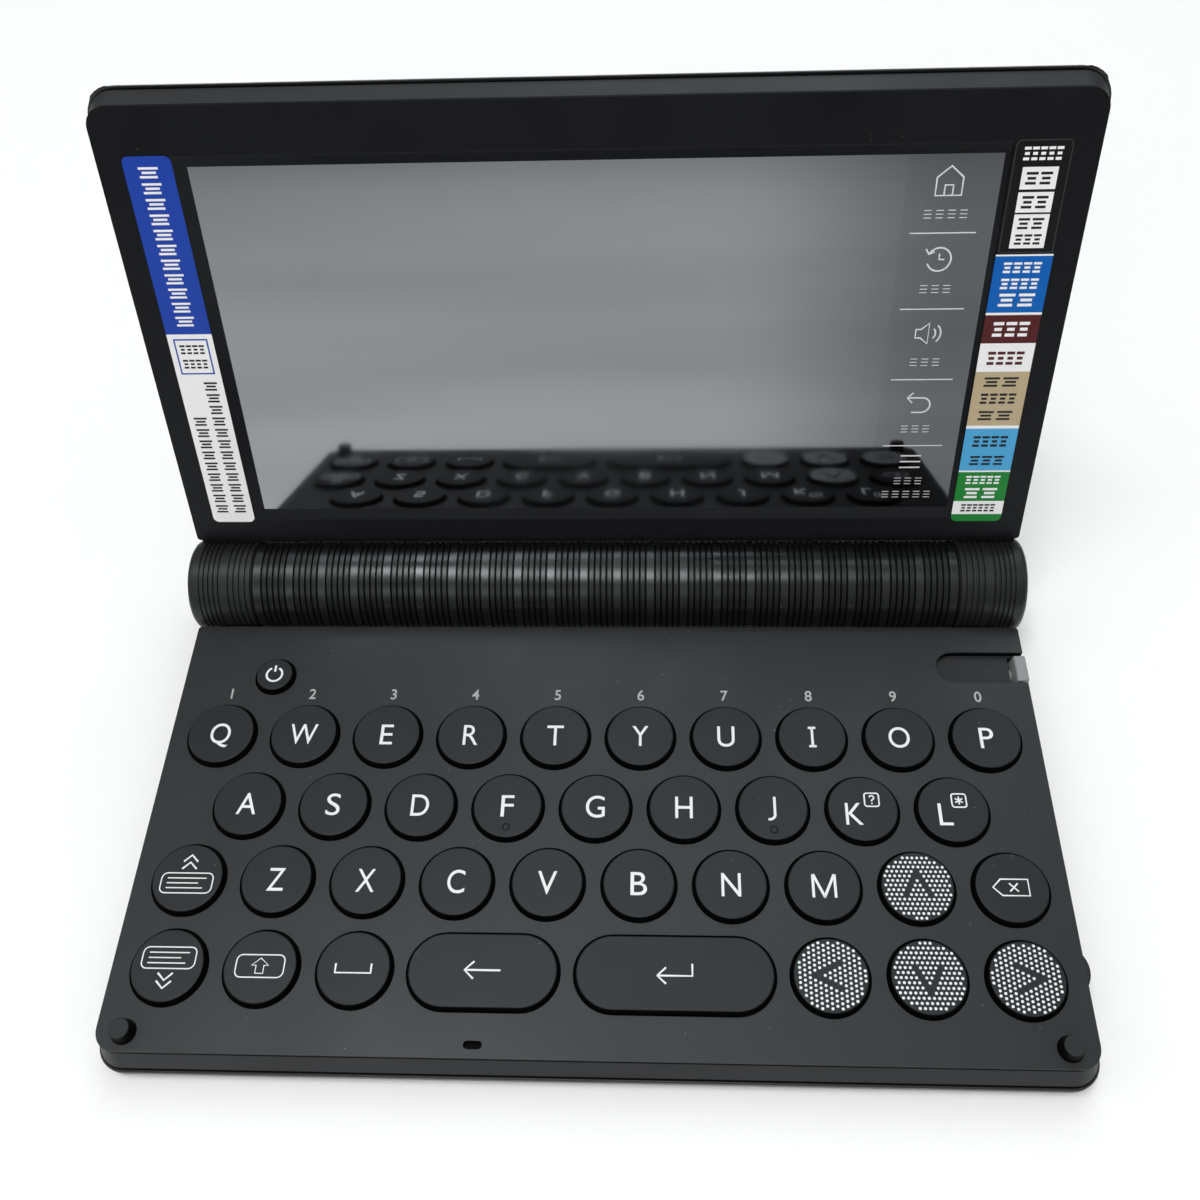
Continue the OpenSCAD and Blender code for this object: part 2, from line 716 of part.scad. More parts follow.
// Grip grooves around the barrel, between raised bands
module grip_grooves() {
    for (i = [0:band_count - 2])
        translate([-mid_half + band_w + i * band_pitch, 0, 0]) rotate([0, 90, 0])
            difference() {
                cylinder(r = barrel_r + cut, h = groove_w);
                translate([0, 0, -cut]) cylinder(r = barrel_r - groove_depth, h = groove_w + 2 * cut);
            }
}

// Fixed middle of the barrel: the tube for the cells, its solid ends and the web to the base
module battery_barrel() {
    web_low = foot_h - hinge_z;
    web_high = panel_top - hinge_z - reveal;
    color("black") on_axis() difference() {
        union() {
            difference() {
                x_bar(barrel_r, mid_half);
                grip_grooves();
            }
            translate([-mid_half, -base_near, web_low])
                cube([2 * mid_half, base_near - barrel_r / 2, web_high - web_low]);
        }
        x_bar(cell_bore_r, cavity_half);
        difference() {
            wedge(door_low_angle, door_top_angle, cavity_half);
            x_bar(cell_bore_r - cut, cavity_half);
        }
        for (side = [-1, 1])
            translate([side * pin_x, 0, 0]) x_bar(pin_r, pin_len / 2);
    }
}

// Two round cells in line
module battery_cells() {
    nub_len = 1;
    nub_r = 2.7;
    first = cavity_half - contact_t;
    color("goldenrod") on_axis() for (i = [0, 1])
        translate([first - i * cell_len, 0, 0]) rotate([0, -90, 0]) {
            cylinder(r = nub_r, h = nub_len);
            translate([0, 0, nub_len]) cylinder(r = cell_r, h = cell_len - nub_len);
        }
}

// Points of the contact spring's wire, a cone of turns along X
function spring_path(turns, steps) = [
    for (i = [0:turns * steps])
        let (part = i / (turns * steps), angle = 360 * i / steps)
        let (r = spring_wide_r + part * (spring_narrow_r - spring_wide_r))
        [spring_wire_r + part * (spring_len - 2 * spring_wire_r), r * cos(angle), r * sin(angle)],
];

// Wire swept along the spring's points
module spring_coil() {
    turns = 3;
    steps = 16;
    sides = 8;
    path = spring_path(turns, steps);
    count = len(path);
    points = [
        for (p = path, s = [0:sides - 1])
            let (out = [0, p[1], p[2]] / norm([0, p[1], p[2]]), angle = 360 * s / sides)
            p + spring_wire_r * (cos(angle) * out + sin(angle) * [1, 0, 0]),
    ];
    rings = [
        for (i = [0:count - 2], s = [0:sides - 1])
            let (a = i * sides + s, b = i * sides + (s + 1) % sides)
            [a, b, b + sides, a + sides],
    ];
    first_cap = [[for (s = [sides - 1:-1:0]) s]];
    last_cap = [[for (s = [0:sides - 1]) (count - 1) * sides + s]];
    polyhedron(points, concat(rings, first_cap, last_cap));
}

// Contact plates at both ends of the cells, one with a spring
module battery_contacts() {
    color("silver") on_axis() {
        for (side = [-1, 1])
            translate([side * (cavity_half - contact_t / 2), 0, 0]) x_bar(contact_r, contact_t / 2);
        translate([contact_t - cavity_half, 0, 0]) spring_coil();
    }
}

// Steel pins from the barrel's middle into the knuckles
module hinge_pins() {
    color("silver") on_axis() for (side = [-1, 1])
        translate([side * pin_x, 0, 0]) x_bar(pin_r, pin_len / 2);
}

// Curved cover over the cells, at the rear and underside of the barrel
module battery_door() {
    slack = atan(door_gap / barrel_r);
    color("black") on_axis() intersection() {
        difference() {
            x_bar(barrel_r, cavity_half - door_gap);
            grip_grooves();
            x_bar(cell_bore_r, cavity_half);
        }
        wedge(door_low_angle + slack, door_top_angle - slack, cavity_half);
    }
}

// Writing stylus with a wide head, stored along the rear of the keyboard
module stylus() {
    head_top = panel_top - small_gap;
    head_start = stylus_end - stylus_head_len;
    half = stylus_head_w / 2;
    slope = 0.7;
    bevel = 0.4;
    tip_len = 4;
    tip_r = 0.5;
    color("lightgray") on_base() translate([0, -stylus_y, 0]) {
        translate([stylus_end - stylus_len + tip_len, 0, stylus_z]) rotate([0, 90, 0])
            cylinder(r = stylus_r, h = stylus_len - tip_len - stylus_head_len / 2);
        translate([stylus_end - stylus_len, 0, stylus_z]) rotate([0, 90, 0])
            cylinder(r1 = tip_r, r2 = stylus_r, h = tip_len);
        translate([0, half, 0]) rotate([90, 0, 0]) linear_extrude(stylus_head_w) polygon([
            [head_start, head_low],
            [stylus_end, head_low],
            [stylus_end, head_top - bevel],
            [stylus_end - bevel, head_top],
            [head_start + slope, head_top],
            [head_start, panel_under],
        ]);
    }
}

// Outer shell of the lid
module lid_back_cover() {
    color(SHELL) on_lid() difference() {
        translate([0, 0, lid_back]) mirror([0, 0, 1]) rounded_cover(lid_near, back_lip);
        plate(cover_w / 2 - cover_wall, lid_near + cover_wall, cover_reach - cover_wall,
              near_r, cover_corner_r - cover_wall, back_rim - cut, back_inside);
    }
}

// Leaning side wall of the lid
module lid_side_frame() {
    color(SHELL) on_lid() difference() {
        translate([0, 0, back_rim]) mirror([0, 0, 1])
            leaning_wall(lid_near, bezel_corner_r, back_rim - bezel_under);
        plate(panel_half_w - side_wall, lid_near + cover_wall, panel_reach - front_wall,
              near_r, bezel_corner_r - front_wall, bezel_under - cut, back_rim + cut);
    }
}

// Bezel with the sloped window around the display
module lid_bezel() {
    half_w = screen_w / 2;
    screen_far = screen_near + screen_h;
    color("black") on_lid() difference() {
        plate(panel_half_w, lid_near, panel_reach, near_r, bezel_corner_r, bezel_z, bezel_under);
        translate([-half_w, -screen_far, bezel_z - cut]) cube([screen_w, screen_h, bezel_t + 2 * cut]);
        hull() {
            translate([-half_w, -screen_far, bezel_under - skin]) cube([screen_w, screen_h, skin]);
            translate([-half_w - screen_slope, -screen_far - screen_slope, bezel_z - skin])
                cube([screen_w + 2 * screen_slope, screen_h + 2 * screen_slope, 2 * skin]);
        }
    }
}

// Sheet behind the bezel's window, reaching past the visible display
module window_sheet(low, high) {
    translate([-screen_w / 2 - glass_margin, -screen_near - screen_h - glass_margin, low])
        cube([screen_w + 2 * glass_margin, screen_h + 2 * glass_margin, high - low]);
}

// Touch-sensitive glass right behind the bezel
module touch_glass() {
    color("slategray") on_lid() window_sheet(bezel_under, bezel_under + glass_t);
}

// Display module between the glass and the back cover
module lcd_panel() {
    color("gray") on_lid() window_sheet(bezel_under + glass_t, back_inside);
}

// Knuckles at both ends of the barrel, joined to the lid by a short web
module hinge_knuckles() {
    bore_depth = pin_in_knuckle + board_gap;
    color("black") on_lid() for (side = [-1, 1]) scale([side, 1, 1]) difference() {
        union() {
            translate([knuckle_start, 0, 0]) rotate([0, 90, 0]) rotate_extrude() polygon(concat(
                [[0, 0], [barrel_r, 0]],
                [
                    for (turn = [0:15:90])
                        [barrel_r - knuckle_fillet + knuckle_fillet * cos(turn),
                         knuckle_len - knuckle_fillet + knuckle_fillet * sin(turn)],
                ],
                [[0, knuckle_len]]
            ));
            translate([knuckle_start, -lid_near, bezel_under])
                cube([panel_half_w - reveal - knuckle_start, lid_near - barrel_r / 2,
                      back_rim - bezel_under]);
        }
        translate([knuckle_start - cut, 0, 0]) rotate([0, 90, 0])
            cylinder(r = pin_r + pin_clearance, h = bore_depth + cut);
    }
}

module key_power() {
    color(KEY_BODY) on_base() translate([-power_key_x, -power_key_y, 0]) key_solid(power_key_r, 0);
}
module key_q() { color(KEY_BODY) key_at(0, 0); }
module key_w() { color(KEY_BODY) key_at(1, 0); }
module key_e() { color(KEY_BODY) key_at(2, 0); }
module key_r() { color(KEY_BODY) key_at(3, 0); }
module key_t() { color(KEY_BODY) key_at(4, 0); }
module key_y() { color(KEY_BODY) key_at(5, 0); }
module key_u() { color(KEY_BODY) key_at(6, 0); }
module key_i() { color(KEY_BODY) key_at(7, 0); }
module key_o() { color(KEY_BODY) key_at(8, 0); }
module key_p() { color(KEY_BODY) key_at(9, 0); }
module key_a() { color(KEY_BODY) key_at(0.5, 1); }
module key_s() { color(KEY_BODY) key_at(1.5, 1); }
module key_d() { color(KEY_BODY) key_at(2.5, 1); }
module key_f() { color(KEY_BODY) key_at(3.5, 1); }
module key_g() { color(KEY_BODY) key_at(4.5, 1); }
module key_h() { color(KEY_BODY) key_at(5.5, 1); }
module key_j() { color(KEY_BODY) key_at(6.5, 1); }
module key_k() { color(KEY_BODY) key_at(7.5, 1); }
module key_l() { color(KEY_BODY) key_at(8.5, 1); }
module key_previous() { color(KEY_BODY) key_at(0, 2); }
module key_z() { color(KEY_BODY) key_at(1, 2); }
module key_x() { color(KEY_BODY) key_at(2, 2); }
module key_c() { color(KEY_BODY) key_at(3, 2); }
module key_v() { color(KEY_BODY) key_at(4, 2); }
module key_b() { color(KEY_BODY) key_at(5, 2); }
module key_n() { color(KEY_BODY) key_at(6, 2); }
module key_m() { color(KEY_BODY) key_at(7, 2); }
module key_up() { color(KEY_BODY) key_at(8, 2); }
module key_delete() { color(KEY_BODY) key_at(9, 2); }
module key_next() { color(KEY_BODY) key_at(0, 3); }
module key_shift() { color(KEY_BODY) key_at(1, 3); }
module key_space() { color(KEY_BODY) key_at(2, 3); }
module key_back() { color(KEY_BODY) long_key(back_key_x, back_key_len); }
module key_enter() { color(KEY_BODY) long_key(enter_key_x, enter_key_len); }
module key_left() { color(KEY_BODY) key_at(7, 3); }
module key_down() { color(KEY_BODY) key_at(8, 3); }
module key_right() { color(KEY_BODY) key_at(9, 3); }

base_bottom_cover();
base_side_frame();
base_top_panel();
keypad_membrane();
main_board();
speaker();
microphone();
corner_bumpers();
rubber_feet();
case_screws();
battery_barrel();
battery_cells();
battery_contacts();
hinge_pins();
battery_door();
stylus();
lid_back_cover();
lid_side_frame();
lid_bezel();
lcd_panel();
touch_glass();
hinge_knuckles();
key_power();
key_q();
key_w();
key_e();
key_r();
key_t();
key_y();
key_u();
key_i();
key_o();
key_p();
key_a();
key_s();
key_d();
key_f();
key_g();
key_h();
key_j();
key_k();
key_l();
key_previous();
key_z();
key_x();
key_c();
key_v();
key_b();
key_n();
key_m();
key_up();
key_delete();
key_next();
key_shift();
key_space();
key_back();
key_enter();
key_left();
key_down();
key_right();
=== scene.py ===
import json
import math

import bmesh
import bpy
from mathutils import Matrix, Vector

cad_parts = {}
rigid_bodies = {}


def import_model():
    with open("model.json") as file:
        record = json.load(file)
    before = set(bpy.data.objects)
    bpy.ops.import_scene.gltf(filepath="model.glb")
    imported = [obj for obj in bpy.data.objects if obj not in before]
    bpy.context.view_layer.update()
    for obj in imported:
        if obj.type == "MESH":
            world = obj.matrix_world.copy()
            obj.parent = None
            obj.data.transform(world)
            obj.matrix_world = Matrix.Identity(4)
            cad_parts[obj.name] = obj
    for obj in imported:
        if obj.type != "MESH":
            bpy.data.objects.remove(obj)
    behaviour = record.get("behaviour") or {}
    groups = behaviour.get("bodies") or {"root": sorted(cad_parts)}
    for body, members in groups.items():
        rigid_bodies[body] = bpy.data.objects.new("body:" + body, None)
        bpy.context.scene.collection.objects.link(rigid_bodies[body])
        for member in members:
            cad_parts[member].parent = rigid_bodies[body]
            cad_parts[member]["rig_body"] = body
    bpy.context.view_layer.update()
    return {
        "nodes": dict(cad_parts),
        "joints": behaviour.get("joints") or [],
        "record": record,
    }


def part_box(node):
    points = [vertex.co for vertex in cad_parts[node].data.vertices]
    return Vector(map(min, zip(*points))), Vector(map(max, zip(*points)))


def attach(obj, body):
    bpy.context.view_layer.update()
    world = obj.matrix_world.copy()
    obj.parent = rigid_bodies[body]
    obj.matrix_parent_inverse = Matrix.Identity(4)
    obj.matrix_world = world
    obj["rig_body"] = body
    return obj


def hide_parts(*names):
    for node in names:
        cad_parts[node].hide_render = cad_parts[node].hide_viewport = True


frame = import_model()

MM = 0.001
EDGE_STEPS = 3
CORNER_STEPS = 8
TURN_STEPS = 64
PRINT_T = 0.02 * MM
FILM_T = 0.03 * MM

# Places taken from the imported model
hinge = next(joint for joint in frame["joints"] if joint["name"] == "lid_hinge")
HINGE = Vector(hinge["pos_m"])
OPENED = Matrix.Translation(HINGE) @ Matrix.Rotation(math.radians(hinge["range_deg"][0]), 4, "X")
ON_AXIS = Matrix.Translation(HINGE)
PANEL_LOW, PANEL_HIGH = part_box("base_top_panel")
PANEL_TOP = PANEL_HIGH.z
PANEL_T = 1.2 * MM
KEY_NODES = sorted(node for node in frame["nodes"] if node.startswith("key_"))


def shut_box(node):
    """Lowest and highest corner of a lid node with the lid shut, measured from the hinge axis."""
    shut = OPENED.inverted()
    points = [shut @ vertex.co for vertex in frame["nodes"][node].data.vertices]
    low = Vector(min(point[axis] for point in points) for axis in range(3))
    high = Vector(max(point[axis] for point in points) for axis in range(3))
    return low, high


# Node groups that several finishes share

def shader_group(name, inputs, outputs):
    """Empty node group with number inputs and number outputs."""
    group = bpy.data.node_groups.new(name, "ShaderNodeTree")
    for label, value in inputs:
        socket = group.interface.new_socket(label, in_out="INPUT", socket_type="NodeSocketFloat")
        socket.default_value = value
    for label in outputs:
        group.interface.new_socket(label, in_out="OUTPUT", socket_type="NodeSocketFloat")
    return group, group.nodes.new("NodeGroupInput"), group.nodes.new("NodeGroupOutput")


def math_node(nodes, operation, **values):
    """Math node with its fixed inputs set."""
    node = nodes.new("ShaderNodeMath")
    node.operation = operation
    for slot, value in values.items():
        node.inputs[int(slot[1:])].default_value = value
    return node


def moulded_grain():
    """Fine grain of a moulded surface and the slow change in its gloss."""
    group, given, result = shader_group(
        "Moulded grain", [("Grain scale", 6000.0), ("Smudge scale", 60.0)], ["Height", "Smudge"])
    nodes, links = group.nodes, group.links
    place = nodes.new("ShaderNodeTexCoord")
    grain = nodes.new("ShaderNodeTexNoise")
    grain.inputs["Detail"].default_value = 3.0
    smudge = nodes.new("ShaderNodeTexNoise")
    smudge.inputs["Detail"].default_value = 4.0
    smudge.inputs["Distortion"].default_value = 0.6
    for noise, label in ((grain, "Grain scale"), (smudge, "Smudge scale")):
        links.new(place.outputs["Object"], noise.inputs["Vector"])
        links.new(given.outputs[label], noise.inputs["Scale"])
    links.new(grain.outputs["Fac"], result.inputs["Height"])
    links.new(smudge.outputs["Fac"], result.inputs["Smudge"])
    return group


def settled_dust():
    """Sparse light specks, most of them far smaller than a millimetre."""
    group, given, result = shader_group(
        "Settled dust", [("Speck scale", 650.0), ("Speck size", 0.08), ("Share", 0.14)], ["Mask"])
    nodes, links = group.nodes, group.links
    place = nodes.new("ShaderNodeTexCoord")
    cells = nodes.new("ShaderNodeTexVoronoi")
    links.new(place.outputs["Object"], cells.inputs["Vector"])
    links.new(given.outputs["Speck scale"], cells.inputs["Scale"])
    near = math_node(nodes, "LESS_THAN")
    links.new(cells.outputs["Distance"], near.inputs[0])
    links.new(given.outputs["Speck size"], near.inputs[1])
    tint = nodes.new("ShaderNodeSeparateColor")
    links.new(cells.outputs["Color"], tint.inputs["Color"])
    chosen = math_node(nodes, "LESS_THAN")
    links.new(tint.outputs["Red"], chosen.inputs[0])
    links.new(given.outputs["Share"], chosen.inputs[1])
    both = math_node(nodes, "MULTIPLY")
    links.new(near.outputs[0], both.inputs[0])
    links.new(chosen.outputs[0], both.inputs[1])
    strength = math_node(nodes, "MULTIPLY")
    links.new(both.outputs[0], strength.inputs[0])
    links.new(tint.outputs["Green"], strength.inputs[1])
    links.new(strength.outputs[0], result.inputs["Mask"])
    return group


GRAIN = moulded_grain()
DUST = settled_dust()


def group_node(nodes, group, **values):
    """A node group in a material, with its own values."""
    node = nodes.new("ShaderNodeGroup")
    node.node_tree = group
    for label, value in values.items():
        node.inputs[label.replace("_", " ").capitalize()].default_value = value
    return node


COOL_SHEEN = (0.91, 0.98, 1.0, 1)


def finish_material(name, colour, roughness, grain_scale=6000.0, grain_depth=0.05, smudge=0.06,
                    smudge_scale=60.0, tone=0.08, dust=0.0, metallic=0.0, specular=0.5,
                    coat=0.0, coat_roughness=0.1):
    """Opaque finish: its colour and gloss drift slowly, its grain is a bump and dust lies on it."""
    material = bpy.data.materials.new(name)
    material.use_nodes = True
    nodes, links = material.node_tree.nodes, material.node_tree.links
    shader = nodes["Principled BSDF"]
    shader.inputs["Metallic"].default_value = metallic
    shader.inputs["Specular IOR Level"].default_value = specular
    shader.inputs["Specular Tint"].default_value = COOL_SHEEN
    shader.inputs["Coat Weight"].default_value = coat
    shader.inputs["Coat Roughness"].default_value = coat_roughness
    grain = group_node(nodes, GRAIN, grain_scale=grain_scale, smudge_scale=smudge_scale)
    gloss = nodes.new("ShaderNodeMapRange")
    gloss.inputs["From Min"].default_value = 0.3
    gloss.inputs["From Max"].default_value = 0.7
    gloss.inputs["To Min"].default_value = roughness - smudge
    gloss.inputs["To Max"].default_value = roughness + smudge
    links.new(grain.outputs["Smudge"], gloss.inputs["Value"])
    links.new(gloss.outputs["Result"], shader.inputs["Roughness"])
    shade = nodes.new("ShaderNodeMix")
    shade.data_type = "RGBA"
    shade.inputs["A"].default_value = [value * (1 - tone) for value in colour] + [1]
    shade.inputs["B"].default_value = [value * (1 + tone) for value in colour] + [1]
    links.new(grain.outputs["Smudge"], shade.inputs["Factor"])
    surface = shade.outputs["Result"]
    if dust:
        specks = group_node(nodes, DUST)
        amount = math_node(nodes, "MULTIPLY", _1=dust)
        links.new(specks.outputs["Mask"], amount.inputs[0])
        dusted = nodes.new("ShaderNodeMix")
        dusted.data_type = "RGBA"
        dusted.inputs["B"].default_value = (0.5, 0.5, 0.48, 1)
        links.new(surface, dusted.inputs["A"])
        links.new(amount.outputs[0], dusted.inputs["Factor"])
        surface = dusted.outputs["Result"]
    links.new(surface, shader.inputs["Base Color"])
    bump = nodes.new("ShaderNodeBump")
    bump.inputs["Strength"].default_value = 1.0
    bump.inputs["Distance"].default_value = grain_depth * MM
    links.new(grain.outputs["Height"], bump.inputs["Height"])
    links.new(bump.outputs["Normal"], shader.inputs["Normal"])
    return material


# Span of X and tone of the painted shade that darkens the display film towards the right
FILM_SAG_DEG = 3.8
FILM_SHADE_SPAN = (18 * MM, 56 * MM)
FILM_SHADE_TONE = 0.47
FILM_STREAK = 0.35


def mirror_film(name, colour):
    """Dark display under a touch film, which mirrors softly, sags a little towards the hinge and has a painted
    shade that darkens it towards the right.
    """
    material = bpy.data.materials.new(name)
    material.use_nodes = True
    nodes, links = material.node_tree.nodes, material.node_tree.links
    shader = nodes["Principled BSDF"]
    shader.inputs["Metallic"].default_value = 1.0
    surface = group_node(nodes, GRAIN, grain_scale=900.0, smudge_scale=26.0)
    gloss = nodes.new("ShaderNodeMapRange")
    gloss.inputs["From Min"].default_value = 0.3
    gloss.inputs["From Max"].default_value = 0.7
    gloss.inputs["To Min"].default_value = 0.03
    gloss.inputs["To Max"].default_value = 0.07
    links.new(surface.outputs["Smudge"], gloss.inputs["Value"])
    links.new(gloss.outputs["Result"], shader.inputs["Roughness"])
    place = nodes.new("ShaderNodeTexCoord")
    apart = nodes.new("ShaderNodeSeparateXYZ")
    links.new(place.outputs["Object"], apart.inputs["Vector"])
    # Painted shade: the film's colour darkens across this span of X towards the right
    right_shade = nodes.new("ShaderNodeMapRange")
    right_shade.interpolation_type = "SMOOTHSTEP"
    right_shade.inputs["From Min"].default_value = FILM_SHADE_SPAN[0]
    right_shade.inputs["From Max"].default_value = FILM_SHADE_SPAN[1]
    links.new(apart.outputs["X"], right_shade.inputs["Value"])
    stretch = nodes.new("ShaderNodeMapping")
    stretch.inputs["Scale"].default_value = (5.0, 60.0, 60.0)
    links.new(place.outputs["Object"], stretch.inputs["Vector"])
    streaks = nodes.new("ShaderNodeTexNoise")
    streaks.inputs["Scale"].default_value = 1.0
    streaks.inputs["Detail"].default_value = 2.0
    links.new(stretch.outputs["Vector"], streaks.inputs["Vector"])
    # An unshaded copy and a painted-shade copy of the film colour, each with its streaks
    tones = []
    for strength in (1.0, FILM_SHADE_TONE):
        tone = nodes.new("ShaderNodeMix")
        tone.data_type = "RGBA"
        tone.inputs["A"].default_value = [value * strength * (1 - FILM_STREAK) for value in colour] + [1]
        tone.inputs["B"].default_value = [value * strength * (1 + FILM_STREAK) for value in colour] + [1]
        links.new(streaks.outputs["Fac"], tone.inputs["Factor"])
        tones.append(tone)
    shade = nodes.new("ShaderNodeMix")
    shade.data_type = "RGBA"
    links.new(right_shade.outputs["Result"], shade.inputs["Factor"])
    links.new(tones[0].outputs["Result"], shade.inputs["A"])
    links.new(tones[1].outputs["Result"], shade.inputs["B"])
    links.new(shade.outputs["Result"], shader.inputs["Base Color"])
    facing = nodes.new("ShaderNodeNewGeometry")
    sag = nodes.new("ShaderNodeVectorRotate")
    sag.rotation_type = "X_AXIS"
    sag.inputs["Angle"].default_value = math.radians(FILM_SAG_DEG)
    links.new(facing.outputs["Normal"], sag.inputs["Vector"])
    links.new(sag.outputs["Vector"], shader.inputs["Normal"])
    return material


# One finish for each material slot of the record
FINISHES = {
    "shell": finish_material("Cover plastic", (0.015, 0.0155, 0.0172), 0.36, grain_depth=0.006, dust=0.15,
                             specular=0.5),
    "panel": finish_material("Panel plastic", (0.0150, 0.0156, 0.0176), 0.42, grain_depth=0.006, dust=0.25,
                             specular=0.42),
    "bezel": finish_material("Bezel plastic", (0.0052, 0.0053, 0.0066), 0.38, grain_depth=0.005, dust=0.1,
                             specular=0.19),
    "barrel": finish_material("Barrel plastic", (0.0035, 0.0038, 0.0040), 0.28, grain_depth=0.003, dust=0.1,
                              specular=0.68),
    "key_cap": finish_material("Key plastic", (0.0132, 0.0138, 0.0160), 0.44, grain_depth=0.006, dust=0.25,
                               specular=0.31),
    "keypad_rubber": finish_material("Keypad rubber", (0.06, 0.06, 0.06), 0.7),
    "circuit_board": finish_material("Circuit board", (0.02, 0.12, 0.05), 0.35),
    "speaker_can": finish_material("Speaker can", (0.5, 0.5, 0.5), 0.35, metallic=1.0),
    "microphone_can": finish_material("Microphone felt", (0.006, 0.006, 0.006), 0.9, specular=0.1),
    "bumper_rubber": finish_material("Stop rubber", (0.014, 0.0143, 0.016), 0.55, grain_depth=0.01,
                                     specular=0.35),
    "foot_rubber": finish_material("Foot rubber", (0.02, 0.02, 0.02), 0.75, grain_depth=0.02, dust=0.4),
    "screw_steel": finish_material("Screw steel", (0.45, 0.45, 0.47), 0.3, metallic=1.0),
    "cell_jacket": finish_material("Cell jacket", (0.45, 0.38, 0.12), 0.3),
    "contact_steel": finish_material("Contact steel", (0.6, 0.6, 0.6), 0.25, metallic=1.0),
    "pin_steel": finish_material("Pin steel", (0.55, 0.55, 0.56), 0.25, metallic=1.0),
    "stylus_grey": finish_material("Stylus plastic", (0.26, 0.27, 0.275), 0.38, grain_depth=0.004),
    "display": finish_material("Display module", (0.05, 0.05, 0.055), 0.3),
    "touch_glass": mirror_film("Display glass", (0.27, 0.285, 0.30)),
}
SIDE_STRIP = mirror_film("Display side strip", (0.25, 0.262, 0.283))
SIDE_FINISH = finish_material("Side wall plastic", (0.0185, 0.019, 0.0212), 0.5, grain_depth=0.006, dust=0.1,
                              specular=0.3)
SHADOW_GAP = finish_material("Shadow gap", (0.0012, 0.0012, 0.0012), 0.7, specular=0.05)
# Near-black painted shade for the sides of keys and stops, which stand in shadow below their lit tops
KEY_SIDE_SHADE = finish_material("Key side shade", (0.0012, 0.0012, 0.0012), 0.5, specular=0.1)
# Near-black painted shade for the groove floors of the barrel and for the ring in its seams
GROOVE_SHADE = finish_material("Groove shade", (0.0015, 0.0015, 0.0016), 0.5, specular=0.12)
WHITE_PRINT = finish_material("White print", (0.80, 0.82, 0.83), 0.5, grain_depth=0.004, tone=0.04)
RIB_FINISH = finish_material("Rib plastic", (0.0035, 0.0038, 0.0040), 0.3, grain_depth=0.003, dust=0.1,
                             specular=0.45)
KNUCKLE_FINISH = finish_material("Knuckle plastic", (0.010, 0.0105, 0.0108), 0.4, grain_depth=0.004,
                                 specular=0.45)
GREY_PRINT = finish_material("Grey print", (0.42, 0.43, 0.43), 0.5, grain_depth=0.004, tone=0.06)
SIGN_PRINT = finish_material("Sign print", (0.70, 0.71, 0.71), 0.5, grain_depth=0.004, tone=0.04)

for subpart in frame["record"]["subparts"]:
    mesh = frame["nodes"][subpart["node"]].data
    mesh.materials.clear()
    mesh.materials.append(FINISHES[subpart["material_slot"]])


# Mesh helpers

def shade_smooth(bm, sharp):
    """Smooth shading that stops at sharp edges and at the border of each level face."""
    limit = math.radians(sharp)
    for face in bm.faces:
        face.smooth = True
    for edge in bm.edges:
        level = [abs(face.normal.z) > 0.99999 for face in edge.link_faces]
        border = any(level) and not all(level)
        edge.smooth = not border and edge.calc_face_angle(0) < limit


def add_piece(name, bm, body, materials, place=None, replaced=(), sharp=50):
    """Makes a finished piece of a bmesh, moves it to its place and lets it ride on its body."""
    bm.normal_update()
    shade_smooth(bm, sharp)
    if place:
        bm.transform(place)
    mesh = bpy.data.meshes.new(name)
    bm.to_mesh(mesh)
    bm.free()
    for material in materials:
        mesh.materials.append(material)
    piece = bpy.data.objects.new(name, mesh)
    bpy.context.scene.collection.objects.link(piece)
    normals = piece.modifiers.new("Even normals", "WEIGHTED_NORMAL")
    normals.keep_sharp = True
    if replaced:
        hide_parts(*replaced)
    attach(piece, body)
    return piece


def sheet(bm, corners, z=0.0):
    """Flat face with the given corners, each as x, y and its rounding radius."""
    made = [bm.verts.new((x, y, z)) for x, y, _ in corners]
    face = bm.faces.new(made)
    for vertex, (_, _, radius) in zip(made, corners):
        if radius:
            bmesh.ops.bevel(bm, geom=[vertex], offset=radius, segments=CORNER_STEPS,
                            profile=0.5, affect="VERTICES", material=-1)
    face = next(f for f in bm.faces if abs(f.calc_center_median().z - z) < 1e-9)
    return face


def rectangle(x0, y0, x1, y1, radius=0.0):
    """Corners of a rectangle, all rounded alike."""
    return [(x0, y0, radius), (x1, y0, radius), (x1, y1, radius), (x0, y1, radius)]


def pull(bm, faces, height):
    """Makes the faces a solid of that height, towards +Z or -Z."""
    made = bmesh.ops.extrude_face_region(bm, geom=faces)["geom"]
    bmesh.ops.translate(bm, verts=[v for v in made if isinstance(v, bmesh.types.BMVert)],
                        vec=(0, 0, height))
    bmesh.ops.recalc_face_normals(bm, faces=bm.faces[:])


def soften(bm, width, keep=lambda edge: True, segments=EDGE_STEPS, angle=35):
    """Rounds the sharp edges that keep() picks."""
    limit = math.radians(angle)
    sharp = [edge for edge in bm.edges
             if len(edge.link_faces) == 2 and edge.calc_face_angle(0) > limit and keep(edge)]
    bmesh.ops.bevel(bm, geom=sharp, offset=width, segments=segments, profile=0.5,
                    affect="EDGES", material=-1, clamp_overlap=True)


def at_height(z):
    """Picks edges that lie at that height."""
    return lambda edge: all(abs(vertex.co.z - z) < 1e-7 for vertex in edge.verts)


